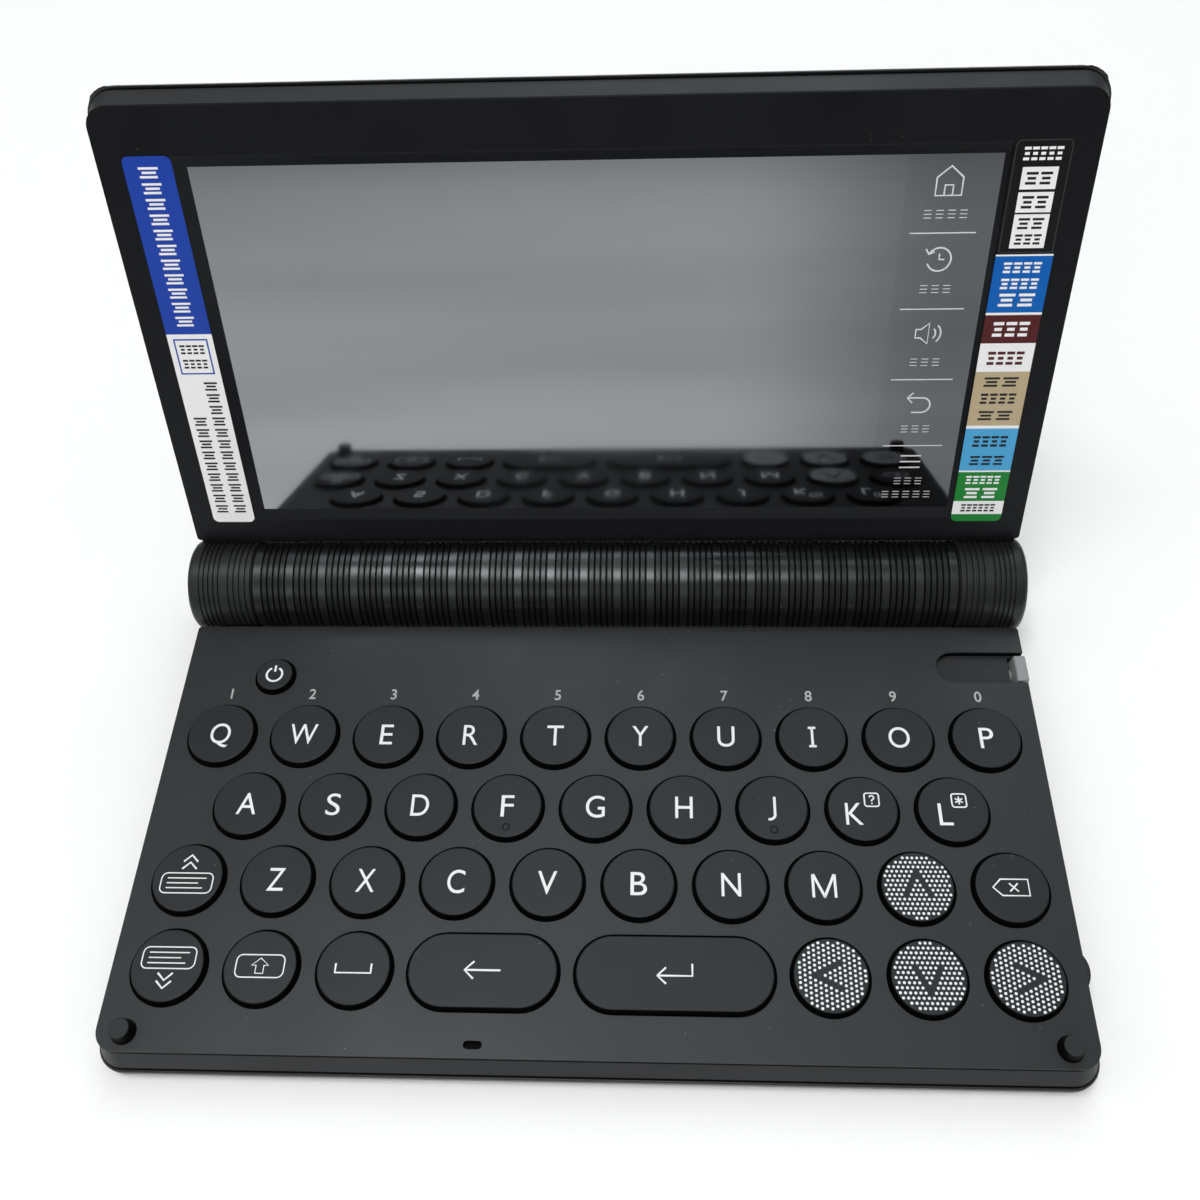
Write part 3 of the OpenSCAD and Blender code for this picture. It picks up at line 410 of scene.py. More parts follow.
def turned(profile, start=0.0, sweep=360.0, steps=TURN_STEPS):
    """Profile of x and radius, turned about the X axis from an angle that +Y has as 0 and +Z as 90."""
    bm = bmesh.new()
    angle = math.radians(start)
    points = [bm.verts.new((x, r * math.cos(angle), r * math.sin(angle))) for x, r in profile]
    closed = sweep < 360
    if closed:
        geom = [bm.faces.new(points)]
        geom += geom[0].edges[:] + geom[0].verts[:]
    else:
        geom = points + [bm.edges.new(pair) for pair in zip(points, points[1:])]
    bmesh.ops.spin(bm, geom=geom, cent=(0, 0, 0), axis=(1, 0, 0), angle=math.radians(sweep),
                   steps=steps, use_merge=not closed, use_duplicate=False)
    bmesh.ops.remove_doubles(bm, verts=bm.verts[:], dist=1e-7)
    bmesh.ops.recalc_face_normals(bm, faces=bm.faces[:])
    return bm


def joined(*parts):
    """One bmesh of several."""
    whole = parts[0]
    for part in parts[1:]:
        mesh = bpy.data.meshes.new("joined")
        part.to_mesh(mesh)
        part.free()
        whole.from_mesh(mesh)
        bpy.data.meshes.remove(mesh)
    return whole


def block(x0, y0, z0, x1, y1, z1, edge=0.0):
    """Box between two corners with softened edges."""
    bm = bmesh.new()
    size = Vector((x1 - x0, y1 - y0, z1 - z0))
    middle = Vector((x1 + x0, y1 + y0, z1 + z0)) / 2
    bmesh.ops.create_cube(bm, size=1, matrix=Matrix.Translation(middle) @ Matrix.Diagonal((*size, 1)))
    if edge:
        soften(bm, edge)
    return bm


# Heights of the bands of painted shade that stand for narrow gaps in shadow, measured from the foot of each side
# frame
BASE_GAP_SHADE = (1.1 * MM, 1.5 * MM)
LID_GAP_SHADE = (2.7 * MM, 2.95 * MM)
RIM_R = 0.24 * MM
COVER_TOP = 2.8 * MM
BACK_LIP = 1.85 * MM


def darken_gap(bm, low, high):
    """Cuts a band around the piece and paints shade on its outer walls there, the look of a narrow gap in shadow.
    """
    for z in (low, high):
        bmesh.ops.bisect_plane(bm, geom=bm.verts[:] + bm.edges[:] + bm.faces[:], dist=1e-7,
                               plane_co=(0, 0, z), plane_no=(0, 0, 1))
    bm.normal_update()
    for face in bm.faces:
        if low < face.calc_center_median().z < high and abs(face.normal.z) < 0.7:
            face.material_index = 1


def refined(node, name, width, finish, rim=None, gap=None, place=None):
    """Copy of a CAD node's mesh with its edges rounded, more so at its rim; a band of painted gap shade is measured
    from its foot.
    """
    bm = bmesh.new()
    bm.from_mesh(frame["nodes"][node].data)
    bmesh.ops.remove_doubles(bm, verts=bm.verts[:], dist=1e-6)
    bmesh.ops.dissolve_limit(bm, angle_limit=math.radians(0.5), verts=bm.verts[:], edges=bm.edges[:])
    if place:
        bm.transform(place.inverted())
    if rim:
        rim_edges = [edge for edge in bm.edges
                     if all(abs(vertex.co.z - rim) < 2e-6 for vertex in edge.verts) and edge.is_convex
                     and edge.calc_face_angle(0) > math.radians(60)]
        bmesh.ops.bevel(bm, geom=rim_edges, offset=RIM_R, segments=4, profile=0.5, affect="EDGES", material=-1)
    soften(bm, width, segments=2, angle=50)
    # Painted shade in a band that stands for a gap in shadow
    if gap:
        foot = min(vertex.co.z for vertex in bm.verts)
        darken_gap(bm, foot + gap[0], foot + gap[1])
    body = frame["nodes"][node]["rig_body"]
    return add_piece(name, bm, body, [finish, SHADOW_GAP], place, [node])


# Prints: letters, numbers and signs as thin raised ink

def arc(x, y, radius, start, end, steps=8):
    """Points along an arc, angles in degrees."""
    turns = [math.radians(start + (end - start) * i / steps) for i in range(steps + 1)]
    return [(x + radius * math.cos(turn), y + radius * math.sin(turn)) for turn in turns]


def frame_line(half_w, half_h, radius, x=0.0, y=0.0):
    """Closed outline of a rounded rectangle."""
    line = []
    for side_x, side_y, start in ((1, 1, 0), (-1, 1, 90), (-1, -1, 180), (1, -1, 270)):
        line += arc(x + side_x * (half_w - radius), y + side_y * (half_h - radius), radius,
                    start, start + 90, 5)
    return line + line[:1]


def curve_bmesh(curve):
    """Mesh of a curve or text, which is then removed."""
    holder = bpy.data.objects.new("drawing", curve)
    bpy.context.scene.collection.objects.link(holder)
    bpy.context.view_layer.update()
    shown = holder.evaluated_get(bpy.context.evaluated_depsgraph_get())
    mesh = bpy.data.meshes.new_from_object(shown)
    bm = bmesh.new()
    bm.from_mesh(mesh)
    bpy.data.objects.remove(holder)
    bpy.data.curves.remove(curve)
    bpy.data.meshes.remove(mesh)
    bmesh.ops.remove_doubles(bm, verts=bm.verts[:], dist=1e-7)
    return bm


def ink_lines(lines, width):
    """Lines in millimetres drawn with a round pen, pressed flat."""
    curve = bpy.data.curves.new("ink", "CURVE")
    curve.dimensions = "3D"
    curve.bevel_depth = width * MM / 2
    curve.bevel_resolution = 1
    curve.use_fill_caps = True
    for line in lines:
        closed = line[0] == line[-1]
        points = line[:-1] if closed else line
        spline = curve.splines.new("POLY")
        spline.points.add(len(points) - 1)
        for point, (x, y) in zip(spline.points, points):
            point.co = (x * MM, y * MM, 0, 1)
        spline.use_cyclic_u = closed
    bm = curve_bmesh(curve)
    bmesh.ops.scale(bm, vec=(1, 1, PRINT_T / (width * MM)), verts=bm.verts[:])
    return bm


def font_bmesh(text, weight=0.0):
    """Flat mesh of a text at size 1, with its lowest and highest corner."""
    curve = bpy.data.curves.new("letters", "FONT")
    curve.body = text
    curve.size = 1.0
    curve.resolution_u = 6
    curve.offset = weight
    bm = curve_bmesh(curve)
    low = Vector([min(vertex.co[axis] for vertex in bm.verts) for axis in (0, 1, 2)])
    high = Vector([max(vertex.co[axis] for vertex in bm.verts) for axis in (0, 1, 2)])
    return bm, low, high


def capital_height():
    """Height of the font's capitals at size 1."""
    bm, low, high = font_bmesh("E")
    bm.free()
    return high.y - low.y


CAPITAL_H = capital_height()
NARROW = 0.92


def ink_text(text, height, width=None, weight=0.0):
    """Text of that cap height in millimetres, centred, and as wide as given or a little narrowed."""
    bm, low, high = font_bmesh(text, weight)
    scale = height * MM / CAPITAL_H
    across = width * MM / (high.x - low.x) if width else scale * NARROW
    middle = Vector(((low.x + high.x) / 2, CAPITAL_H / 2, 0))
    bm.transform(Matrix.Diagonal((across, scale, 1, 1)) @ Matrix.Translation(-middle))
    pull(bm, bm.faces[:], PRINT_T)
    bmesh.ops.translate(bm, verts=bm.verts[:], vec=(0, 0, -PRINT_T / 2))
    return bm


def shifted(bm, x, y, z=0.0):
    """Moves a drawing, in millimetres."""
    bmesh.ops.translate(bm, verts=bm.verts[:], vec=(x * MM, y * MM, z * MM))
    return bm


def chevron(y, up, half_w=1.15, height=1.1):
    """Line of one chevron that points up (1) or down (-1)."""
    return [(-half_w, y - up * height / 2), (0, y + up * height / 2), (half_w, y - up * height / 2)]


def page_sign(y):
    """Rounded frame with three lines in it, which stands for a page."""
    lines = [[(-3.1, y + step), (right, y + step)] for step, right in ((0.8, 3.1), (0.0, 1.9), (-0.8, 2.7))]
    return ink_lines([frame_line(4.1, 1.63, 0.9, 0.05, y)] + lines, FRAME_PEN_W)


def corner_frame(x):
    """Small square frame for the second sign of a key."""
    return frame_line(1.14, 1.14, 0.42, x, SECOND_Y)


DOT_PITCH = 0.74
DOT_ROW = 0.735
DOT_R = 0.225
DOT_FIELD_R = 5.2
DOT_UP = 0.15
ARROW = [(-1.84, -1.29), (0, 2.38), (1.84, -1.29)]
ARROW_CLEAR = 0.33


def from_line(x, y, line):
    """Distance from a point to a line of several points."""
    point = Vector((x, y))
    best = 1e9
    for a, b in zip(line, line[1:]):
        a, b = Vector(a), Vector(b)
        share = max(0, min(1, (point - a).dot(b - a) / (b - a).length_squared))
        best = min(best, (point - a - share * (b - a)).length)
    return best


def dot_field(turn):
    """Staggered white dots over a key's top, left out where an arrow points up, then turned."""
    bm = bmesh.new()
    rows = int(DOT_FIELD_R / DOT_ROW)
    for row in range(-rows, rows + 1):
        shift = 0 if row % 2 else DOT_PITCH / 2
        count = int(DOT_FIELD_R / DOT_PITCH) + 1
        for column in range(-count, count + 1):
            x, y = column * DOT_PITCH + shift, row * DOT_ROW + DOT_UP
            if math.hypot(x, y) > DOT_FIELD_R or from_line(x, y, ARROW) < ARROW_CLEAR:
                continue
            bmesh.ops.create_cone(bm, cap_ends=True, segments=10, radius1=DOT_R * MM,
                                  radius2=DOT_R * MM, depth=PRINT_T,
                                  matrix=Matrix.Translation((x * MM, y * MM, 0)))
    bm.transform(Matrix.Rotation(math.radians(turn), 4, "Z"))
    return bm


LETTER_H = 3.72
LETTER_UP = -0.1
LETTER_PEN_W = 0.42
PEN_W = 0.3
FRAME_PEN_W = 0.19
SECOND_PEN_W = 0.24
SECOND_Y = 1.5
LETTER_WIDTHS = {
    "q": 3.44, "w": 4.6, "e": 2.1, "r": 2.5, "t": 2.75, "y": 2.7, "u": 2.85, "o": 3.44, "p": 2.3,
    "a": 3.2, "s": 2.3, "d": 2.9, "f": 2.05, "g": 3.05, "h": 2.8, "k": 2.75, "l": 2.15,
    "z": 2.6, "x": 2.9, "c": 2.75, "v": 3.0, "b": 2.55, "n": 3.0,
}
STEM = LETTER_H / 2
DRAWN_LETTERS = {
    "i": [[(0, -STEM), (0, STEM)], [(-0.62, STEM - 0.16), (0.62, STEM - 0.16)],
          [(-0.62, 0.16 - STEM), (0.62, 0.16 - STEM)]],
    "j": [[(0.27, STEM + 0.1)] + arc(-0.6, -1.05, 0.87, 0, -105)],
    "m": [[(-1.68, -STEM), (-1.68, STEM)], [(1.68, -STEM), (1.68, STEM)],
          [(-1.62, STEM), (0.06, -STEM)], [(1.62, STEM), (-0.06, -STEM)]],
}


def letter_print(name):
    """One letter of the keyboard; two of them share their key with a second sign."""
    if name in DRAWN_LETTERS:
        return shifted(ink_lines(DRAWN_LETTERS[name], LETTER_PEN_W), 0, LETTER_UP)
    mark = ink_text(name.upper(), LETTER_H, LETTER_WIDTHS[name])
    if name == "k":
        question = [arc(1.5, 1.85, 0.36, 165, -60) + [(1.5, 1.45), (1.5, 1.2)], [(1.5, 0.98), (1.5, 0.78)]]
        return joined(shifted(mark, -1.45, -0.95), ink_lines([corner_frame(1.5)] + question, SECOND_PEN_W))
    if name == "l":
        star = [[(1.05 + 0.68 * math.cos(a), SECOND_Y + 0.68 * math.sin(a)),
                 (1.05 - 0.68 * math.cos(a), SECOND_Y - 0.68 * math.sin(a))]
                for a in (math.radians(t) for t in (30, 90, 150))]
        return joined(shifted(mark, -1.35, -0.9), ink_lines([corner_frame(1.05)] + star, SECOND_PEN_W))
    return shifted(mark, 0, LETTER_UP)


def key_print(name):
    """What is printed on a key: its letter, or a plain sign."""
    if len(name) == 1:
        return letter_print(name)
    if name == "power":
        return ink_lines([arc(0, -0.05, 1.36, 118, 422, 24), [(0, 0.5), (0, 1.75)]], 0.38)
    if name == "previous":
        return joined(ink_lines([chevron(2.0, 1), chevron(3.2, 1)], PEN_W), page_sign(-0.86))
    if name == "next":
        return joined(ink_lines([chevron(-1.7, -1), chevron(-2.9, -1)], PEN_W), page_sign(1.15))
    if name == "shift":
        arrow = [(-1.3, 0.2), (0, 1.3), (1.3, 0.2), (0.6, 0.2), (0.6, -1.0), (-0.6, -1.0), (-0.6, 0.2),
                 (-1.3, 0.2)]
        return ink_lines([frame_line(3.68, 1.7, 0.9, 0, 0.1), arrow], FRAME_PEN_W)
    if name == "space":
        return ink_lines([[(-2.7, 0.7), (-2.7, -0.7), (2.7, -0.7), (2.7, 0.7)]], PEN_W)
    if name == "delete":
        body = [(-2.9, 0), (-1.6, 1.3), (2.5, 1.3), (2.5, -1.3), (-1.6, -1.3), (-2.9, 0)]
        return ink_lines([body, [(-0.4, -0.65), (0.9, 0.65)], [(-0.4, 0.65), (0.9, -0.65)]], 0.24)
    if name == "back":
        return ink_lines([[(2.7, 0), (-2.7, 0)], [(-1.3, 1.3), (-2.7, 0), (-1.3, -1.3)]], PEN_W)
    if name == "enter":
        return ink_lines([[(2.6, 1.4), (2.6, -0.4), (-2.6, -0.4)], [(-1.3, 0.8), (-2.6, -0.4), (-1.3, -1.6)]],
                         PEN_W)
    return dot_field({"up": 0, "left": 90, "down": 180, "right": 270}[name])


# Keys

KEY_FLANGE = 0.4 * MM
KEY_CLEARANCE = 0.2 * MM
KEY_TAPER = 0.33 * MM
KEY_FILLET = 0.22 * MM
KEY_STEM_R = 1.5 * MM
FILLET_STEPS = 5


def key_profile(top_r, low_z, top_z):
    """Radius and height along a key's side, from the foot of its stem to the middle of its top."""
    under = PANEL_TOP - PANEL_T
    side_r = top_r + KEY_TAPER
    flange_r = side_r + KEY_CLEARANCE + KEY_FLANGE
    profile = [(0, low_z), (KEY_STEM_R, low_z), (KEY_STEM_R, under - KEY_FLANGE),
               (flange_r, under - KEY_FLANGE), (flange_r, under), (side_r, under), (side_r, PANEL_TOP)]
    for i in range(FILLET_STEPS + 1):
        turn = math.radians(90 * i / FILLET_STEPS)
        profile.append((top_r - KEY_FILLET * (1 - math.cos(turn)), top_z - KEY_FILLET * (1 - math.sin(turn))))
    return profile + [(0, top_z)]


HOME_KEYS = ("f", "j")
HOME_DOT_Y = -3.75
HOME_DOT_R = 0.55


def home_dot():
    """Small raised ring that marks a home key."""
    return ink_lines([arc(0, HOME_DOT_Y, HOME_DOT_R, 0, 360, 16)], 0.2)


def key_cap(node):
    """One key: a turned cap, drawn out along X if the key is long, with its print."""
    low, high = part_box(node)
    middle = (low + high) / 2
    flange_r = (high.y - low.y) / 2
    top_r = flange_r - KEY_FLANGE - KEY_CLEARANCE - KEY_TAPER
    bm = bmesh.new()
    points = [bm.verts.new((r, 0, z)) for r, z in key_profile(top_r, low.z, high.z)]
    edges = [bm.edges.new(pair) for pair in zip(points, points[1:])]
    bmesh.ops.spin(bm, geom=points + edges, cent=(0, 0, 0), axis=(0, 0, 1), angle=math.tau,
                   steps=TURN_STEPS, use_merge=True, use_duplicate=False)
    bmesh.ops.remove_doubles(bm, verts=bm.verts[:], dist=1e-7)
    straight = (high.x - low.x) / 2 - flange_r
    if straight > 0.1 * MM:
        bmesh.ops.bisect_plane(bm, geom=bm.verts[:] + bm.edges[:] + bm.faces[:], dist=1e-7,
                               plane_co=(0, 0, 0), plane_no=(1, 0, 0))
        seam = [edge for edge in bm.edges if all(abs(v.co.x) < 1e-7 for v in edge.verts)]
        right = [face for face in bm.faces if face.calc_center_median().x > 0]
        bmesh.ops.split(bm, geom=right)
        for vertex in bm.verts:
            side = sum(face.calc_center_median().x for face in vertex.link_faces)
            vertex.co.x += math.copysign(straight, side)
        rims = [edge for edge in bm.edges if edge.is_boundary]
        bmesh.ops.bridge_loops(bm, edges=rims)
    bmesh.ops.recalc_face_normals(bm, faces=bm.faces[:])
    # Tops take the key plastic; the sides, the steep part of the fillet and the foot take a near-black painted
    # shade
    for face in bm.faces:
        face.material_index = 0 if face.normal.z > 0.7 and face.calc_center_median().z > PANEL_TOP else 1
    mark = key_print(node.removeprefix("key_"))
    for face in mark.faces:
        face.material_index = 2
    bmesh.ops.translate(mark, verts=mark.verts[:], vec=(0, 0, high.z))
    bm = joined(bm, mark)
    if node.removeprefix("key_") in HOME_KEYS:
        dot = home_dot()
        for face in dot.faces:
            face.material_index = 1
        bmesh.ops.translate(dot, verts=dot.verts[:], vec=(0, 0, high.z))
        bm = joined(bm, dot)
    place = Matrix.Translation((middle.x, middle.y, 0))
    return add_piece(node.replace("key_", "cap_"), bm, frame["nodes"][node]["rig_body"],
                     [FINISHES["key_cap"], KEY_SIDE_SHADE, WHITE_PRINT], place, [node])


def make_keys():
    for node in KEY_NODES:
        key_cap(node)


# Keyboard panel

PANEL_CORNER_R = 3.3 * MM
NEAR_R = 0.6 * MM
RECESS_W = 6.0 * MM
RECESS_LEN = 15.1 * MM
RECESS_BEHIND_HEAD = 0.0
STOP_HOLE_R = 1.9 * MM
MIC_X = 16.75 * MM
MIC_FRONT = 1.85 * MM
MIC_LEN = 2.8 * MM
MIC_W = 1.2 * MM
PANEL_EDGE = 0.25 * MM
HOLE_EDGE = 0.08 * MM
# Top of the painted shade on the panel's side, under its rounded edge
PANEL_GAP_SHADE_TOP = 0.85 * MM


def panel_outline():
    """The panel's outline with the finger recess open towards the right edge."""
    recess_y = (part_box("stylus")[0].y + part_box("stylus")[1].y) / 2
    recess_x = PANEL_HIGH.x - RECESS_LEN
    end_r = RECESS_W / 2 * 0.999
    return [
        (PANEL_LOW.x, PANEL_LOW.y, PANEL_CORNER_R), (PANEL_HIGH.x, PANEL_LOW.y, PANEL_CORNER_R),
        (PANEL_HIGH.x, recess_y - RECESS_W / 2, 0), (recess_x, recess_y - RECESS_W / 2, end_r),
        (recess_x, recess_y + RECESS_W / 2, end_r), (PANEL_HIGH.x, recess_y + RECESS_W / 2, 0),
        (PANEL_HIGH.x, PANEL_HIGH.y, NEAR_R), (PANEL_LOW.x, PANEL_HIGH.y, NEAR_R),
    ]


def make_panel():
    bm = bmesh.new()
    sheet(bm, panel_outline())
    outline = {edge for edge in bm.edges}
    for node in KEY_NODES:
        low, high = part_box(node)
        radius = (high.y - low.y) / 2 - KEY_FLANGE
        half = (high.x - low.x) / 2 - KEY_FLANGE
        middle = (low + high) / 2
        hole = rectangle(middle.x - half, middle.y - radius, middle.x + half, middle.y + radius)
        if half - radius > 0.1 * MM:
            sheet(bm, [(x, y, radius * 0.999) for x, y, _ in hole])
        else:
            bmesh.ops.create_circle(bm, segments=TURN_STEPS, radius=radius,
                                    matrix=Matrix.Translation((middle.x, middle.y, 0)))
    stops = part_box("corner_bumpers")
    for x in (stops[0].x + STOP_HOLE_R, stops[1].x - STOP_HOLE_R):
        bmesh.ops.create_circle(bm, segments=32, radius=STOP_HOLE_R,
                                matrix=Matrix.Translation((x, (stops[0].y + stops[1].y) / 2, 0)))
    mic_y = PANEL_LOW.y + MIC_FRONT
    sheet(bm, rectangle(-MIC_X - MIC_LEN / 2, mic_y - MIC_W / 2, -MIC_X + MIC_LEN / 2, mic_y + MIC_W / 2,
                        MIC_W / 2 * 0.999))
    bmesh.ops.delete(bm, geom=bm.faces[:], context="FACES_ONLY")
    bmesh.ops.triangle_fill(bm, use_beauty=True, use_dissolve=False, edges=bm.edges[:])
    pull(bm, bm.faces[:], PANEL_T)
    top = at_height(PANEL_T)
    inside = 0.5 * MM

    def on_outline(edge):
        middle = (edge.verts[0].co + edge.verts[1].co) / 2
        return top(edge) and (abs(middle.x) > PANEL_HIGH.x - PANEL_CORNER_R and
                              (abs(middle.x) > PANEL_HIGH.x - inside or middle.y < PANEL_LOW.y + PANEL_CORNER_R
                               and math.hypot(abs(middle.x) - PANEL_HIGH.x + PANEL_CORNER_R,
                                              middle.y - PANEL_LOW.y - PANEL_CORNER_R) > PANEL_CORNER_R - inside)
                              or middle.y < PANEL_LOW.y + inside)

    soften(bm, PANEL_EDGE, on_outline)
    soften(bm, HOLE_EDGE, lambda edge: top(edge) and not on_outline(edge), segments=2, angle=80)
    # Painted shade on the panel's side below its rounded edge, a gap in shadow
    darken_gap(bm, -PANEL_T, PANEL_GAP_SHADE_TOP)
    add_piece("panel_moulding", bm, "base", [FINISHES["panel"], SHADOW_GAP],
              Matrix.Translation((0, 0, PANEL_TOP - PANEL_T)), ["base_top_panel"])


DIGIT_H = 1.9
DIGIT_OVER_KEY = 8.2


def make_digits():
    """Grey numbers printed on the panel above the first letter row."""
    row = sorted((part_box(node) for node in ("key_" + letter for letter in "qwertyuiop")),
                 key=lambda box: box[0].x)
    marks = []
    for digit, (low, high) in zip("1234567890", row):
        middle = (low + high) / 2 / MM
        marks.append(shifted(ink_text(digit, DIGIT_H, weight=0.012), middle.x, middle.y + DIGIT_OVER_KEY,
                             PANEL_TOP / MM))
    add_piece("panel_numbers", joined(*marks), "base", [GREY_PRINT])


def make_stops():
    """Rubber stops that the shut lid rests on, with a painted shade on their sides."""
    low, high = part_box("corner_bumpers")
    base_r, top_r, edge = 1.85 * MM, 1.4 * MM, 0.15 * MM
    under = low.z
    parts = []
    for x in (low.x + base_r, high.x - base_r):
        bm = bmesh.new()
        profile = [(0, under), (base_r, under), (base_r, PANEL_TOP), (top_r + edge, high.z - edge),
                   (top_r + edge * 0.7, high.z - edge * 0.3), (top_r, high.z), (0, high.z)]
        points = [bm.verts.new((r, 0, z)) for r, z in profile]
        edges = [bm.edges.new(pair) for pair in zip(points, points[1:])]
        bmesh.ops.spin(bm, geom=points + edges, cent=(0, 0, 0), axis=(0, 0, 1), angle=math.tau, steps=40,
                       use_merge=True, use_duplicate=False)
        bmesh.ops.remove_doubles(bm, verts=bm.verts[:], dist=1e-7)
        bmesh.ops.recalc_face_normals(bm, faces=bm.faces[:])
        # Tops take the rubber; the sides take a near-black painted shade
        for face in bm.faces:
            face.material_index = 0 if face.normal.z > 0.5 and face.calc_center_median().z > PANEL_TOP else 1
        bm.transform(Matrix.Translation((x, (low.y + high.y) / 2, 0)))
        parts.append(bm)
    add_piece("lid_stops", joined(*parts), "base", [FINISHES["bumper_rubber"], KEY_SIDE_SHADE],
              replaced=["corner_bumpers"])


# Barrel: the fixed middle, the battery door and the knuckles

BARREL_R = 8.25 * MM
GROOVE_R = 8.0 * MM
BORE_R = 7.4 * MM
BARREL_MID = 61.5 * MM
CAVITY_HALF = 52.6 * MM
BAND_COUNT = 22
BAND_W = 1.4 * MM
BAND_PITCH = (2 * BARREL_MID - BAND_W) / (BAND_COUNT - 1)
RIB_W = 0.8 * MM
RIB_LIP = 0.06 * MM
DOOR_TOP, DOOR_LOW, DOOR_GAP = 30.0, -130.0, 0.7
KNUCKLE_RIBS = (62.41, 63.37, 64.42, 65.40, 68.19, 69.07, 69.94, 70.79)
KNUCKLE_BAND = (66.07, 67.61)
KNUCKLE_RIB_HALF = 0.32
KNUCKLE_CAP = 71.28
KNUCKLE_GAP = 0.45 * MM
SEAM_SHADE_R = 7.9 * MM
SEAM_SHADE_INSIDE = 0.2 * MM
KNUCKLE_FILLET = 1.0 * MM


def rib_line(spans, start, end):
    """Outer line of a ribbed stretch: grooves between the raised spans."""
    line = []
    for low, high in spans:
        low, high = max(low, start), min(high, end)
        if high - low < 2 * RIB_LIP:
            continue
        if low > start:
            line += [(low - RIB_LIP, GROOVE_R), (low + RIB_LIP, BARREL_R)]
        else:
            line += [(low, BARREL_R)]
        if high < end:
            line += [(high - RIB_LIP, BARREL_R), (high + RIB_LIP, GROOVE_R)]
        else:
            line += [(high, BARREL_R)]
    if line[0][0] > start:
        line.insert(0, (start, GROOVE_R))
    if line[-1][0] < end:
        line.append((end, GROOVE_R))
    return line


def shade_grooves(bm):
    """Paints shade on the floors of the grooves and on the dark ring in the seam, and gives the ribs between the
    bands their own, less glossy finish, before the barrel is put in place.
    """
    for face in bm.faces:
        middle = face.calc_center_median()
        radius = math.hypot(middle.y, middle.z)
        if (BORE_R + GROOVE_R) / 2 < radius < GROOVE_R + 0.05 * MM:
            face.material_index = 1
        elif radius > GROOVE_R and (middle.x + BARREL_MID) % BAND_PITCH > BAND_W:
            face.material_index = 2
    return bm


def middle_spans():
    """Raised spans around the barrel's middle: wide bands with four ribs between them."""
    rib_gap = (BAND_PITCH - BAND_W - 4 * RIB_W) / 5
    spans = []
    for i in range(BAND_COUNT):
        start = i * BAND_PITCH - BARREL_MID
        spans.append((start, start + BAND_W))
        if i < BAND_COUNT - 1:
            for rib in range(4):
                left = start + BAND_W + rib_gap + rib * (RIB_W + rib_gap)
                spans.append((left, left + RIB_W))
    return spans


def barrel_web():
    """Flat web that joins the barrel to the base."""
    rear = PANEL_HIGH.y - HINGE.y
    return block(-BARREL_MID, rear, 0.8 * MM - HINGE.z, BARREL_MID, -BARREL_R / 2,
                 PANEL_TOP - 0.3 * MM - HINGE.z, 0.15 * MM)


def make_barrel():
    spans = middle_spans()
    shell = rib_line(spans, -CAVITY_HALF, CAVITY_HALF)
    shell += [(CAVITY_HALF, BORE_R), (-CAVITY_HALF, BORE_R)]
    middle = turned(shell, DOOR_TOP, 360 - (DOOR_TOP - DOOR_LOW), 40)
    parts = [middle]
    for side in (-1, 1):
        start, end = sorted((side * CAVITY_HALF, side * BARREL_MID))
        line = [(start, 0)] + rib_line(spans, start, end) + [(end, 0)]
        parts.append(turned(line))
        # Dark ring inside the seam between the barrel and each knuckle, a painted shade in the gap
        start, end = sorted((side * (BARREL_MID - SEAM_SHADE_INSIDE), side * (BARREL_MID + 0.9 * KNUCKLE_GAP)))
        parts.append(turned([(start, 0), (start, SEAM_SHADE_R), (end, SEAM_SHADE_R), (end, 0)]))
    bm = joined(shade_grooves(joined(*parts)), barrel_web())
    add_piece("barrel_moulding", bm, "base", [FINISHES["barrel"], GROOVE_SHADE, RIB_FINISH], ON_AXIS,
              ["battery_barrel"], sharp=35)


def make_door():
    half = CAVITY_HALF - 0.1 * MM
    line = rib_line(middle_spans(), -half, half) + [(half, BORE_R), (-half, BORE_R)]
    bm = turned(line, DOOR_LOW + DOOR_GAP, DOOR_TOP - DOOR_LOW - 2 * DOOR_GAP, 32)
    add_piece("door_moulding", shade_grooves(bm), "battery_door",
              [FINISHES["barrel"], GROOVE_SHADE, RIB_FINISH], ON_AXIS, ["battery_door"], sharp=35)


def make_knuckles():
    low, high = shut_box("hinge_knuckles")
    inner, outer = BARREL_MID + KNUCKLE_GAP, high.x
    ribs = [((x - KNUCKLE_RIB_HALF) * MM, (x + KNUCKLE_RIB_HALF) * MM) for x in KNUCKLE_RIBS]
    spans = ribs[:4] + [(KNUCKLE_BAND[0] * MM, KNUCKLE_BAND[1] * MM)] + ribs[4:]
    line = [(inner, 0)] + rib_line(spans, inner, KNUCKLE_CAP * MM)
    line.append((KNUCKLE_CAP * MM + RIB_LIP, BARREL_R))
    for i in range(7):
        turn = math.radians(15 * i)
        line.append((outer - KNUCKLE_FILLET * (1 - math.sin(turn)),
                     BARREL_R - KNUCKLE_FILLET * (1 - math.cos(turn))))
    line.append((outer, 0))
    frame_low, frame_high = shut_box("lid_side_frame")
    parts = []
    for side in (-1, 1):
        bm = turned([(side * x, r) for x, r in line])
        x0, x1 = sorted((side * inner, side * 72.5 * MM))
        web = block(x0, frame_high.y, 2.05 * MM, x1, -BARREL_R / 2, frame_high.z, 0.15 * MM)
        parts += [bm, web]
    add_piece("knuckle_mouldings", joined(*parts), "lid", [KNUCKLE_FINISH], OPENED,
              ["hinge_knuckles"], sharp=35)


SHADE_STRIP_LOW, SHADE_STRIP_T, SHADE_STRIP_CLEAR, SHADE_STRIP_INSIDE = 2.2 * MM, 0.7 * MM, 0.08 * MM, 0.3 * MM


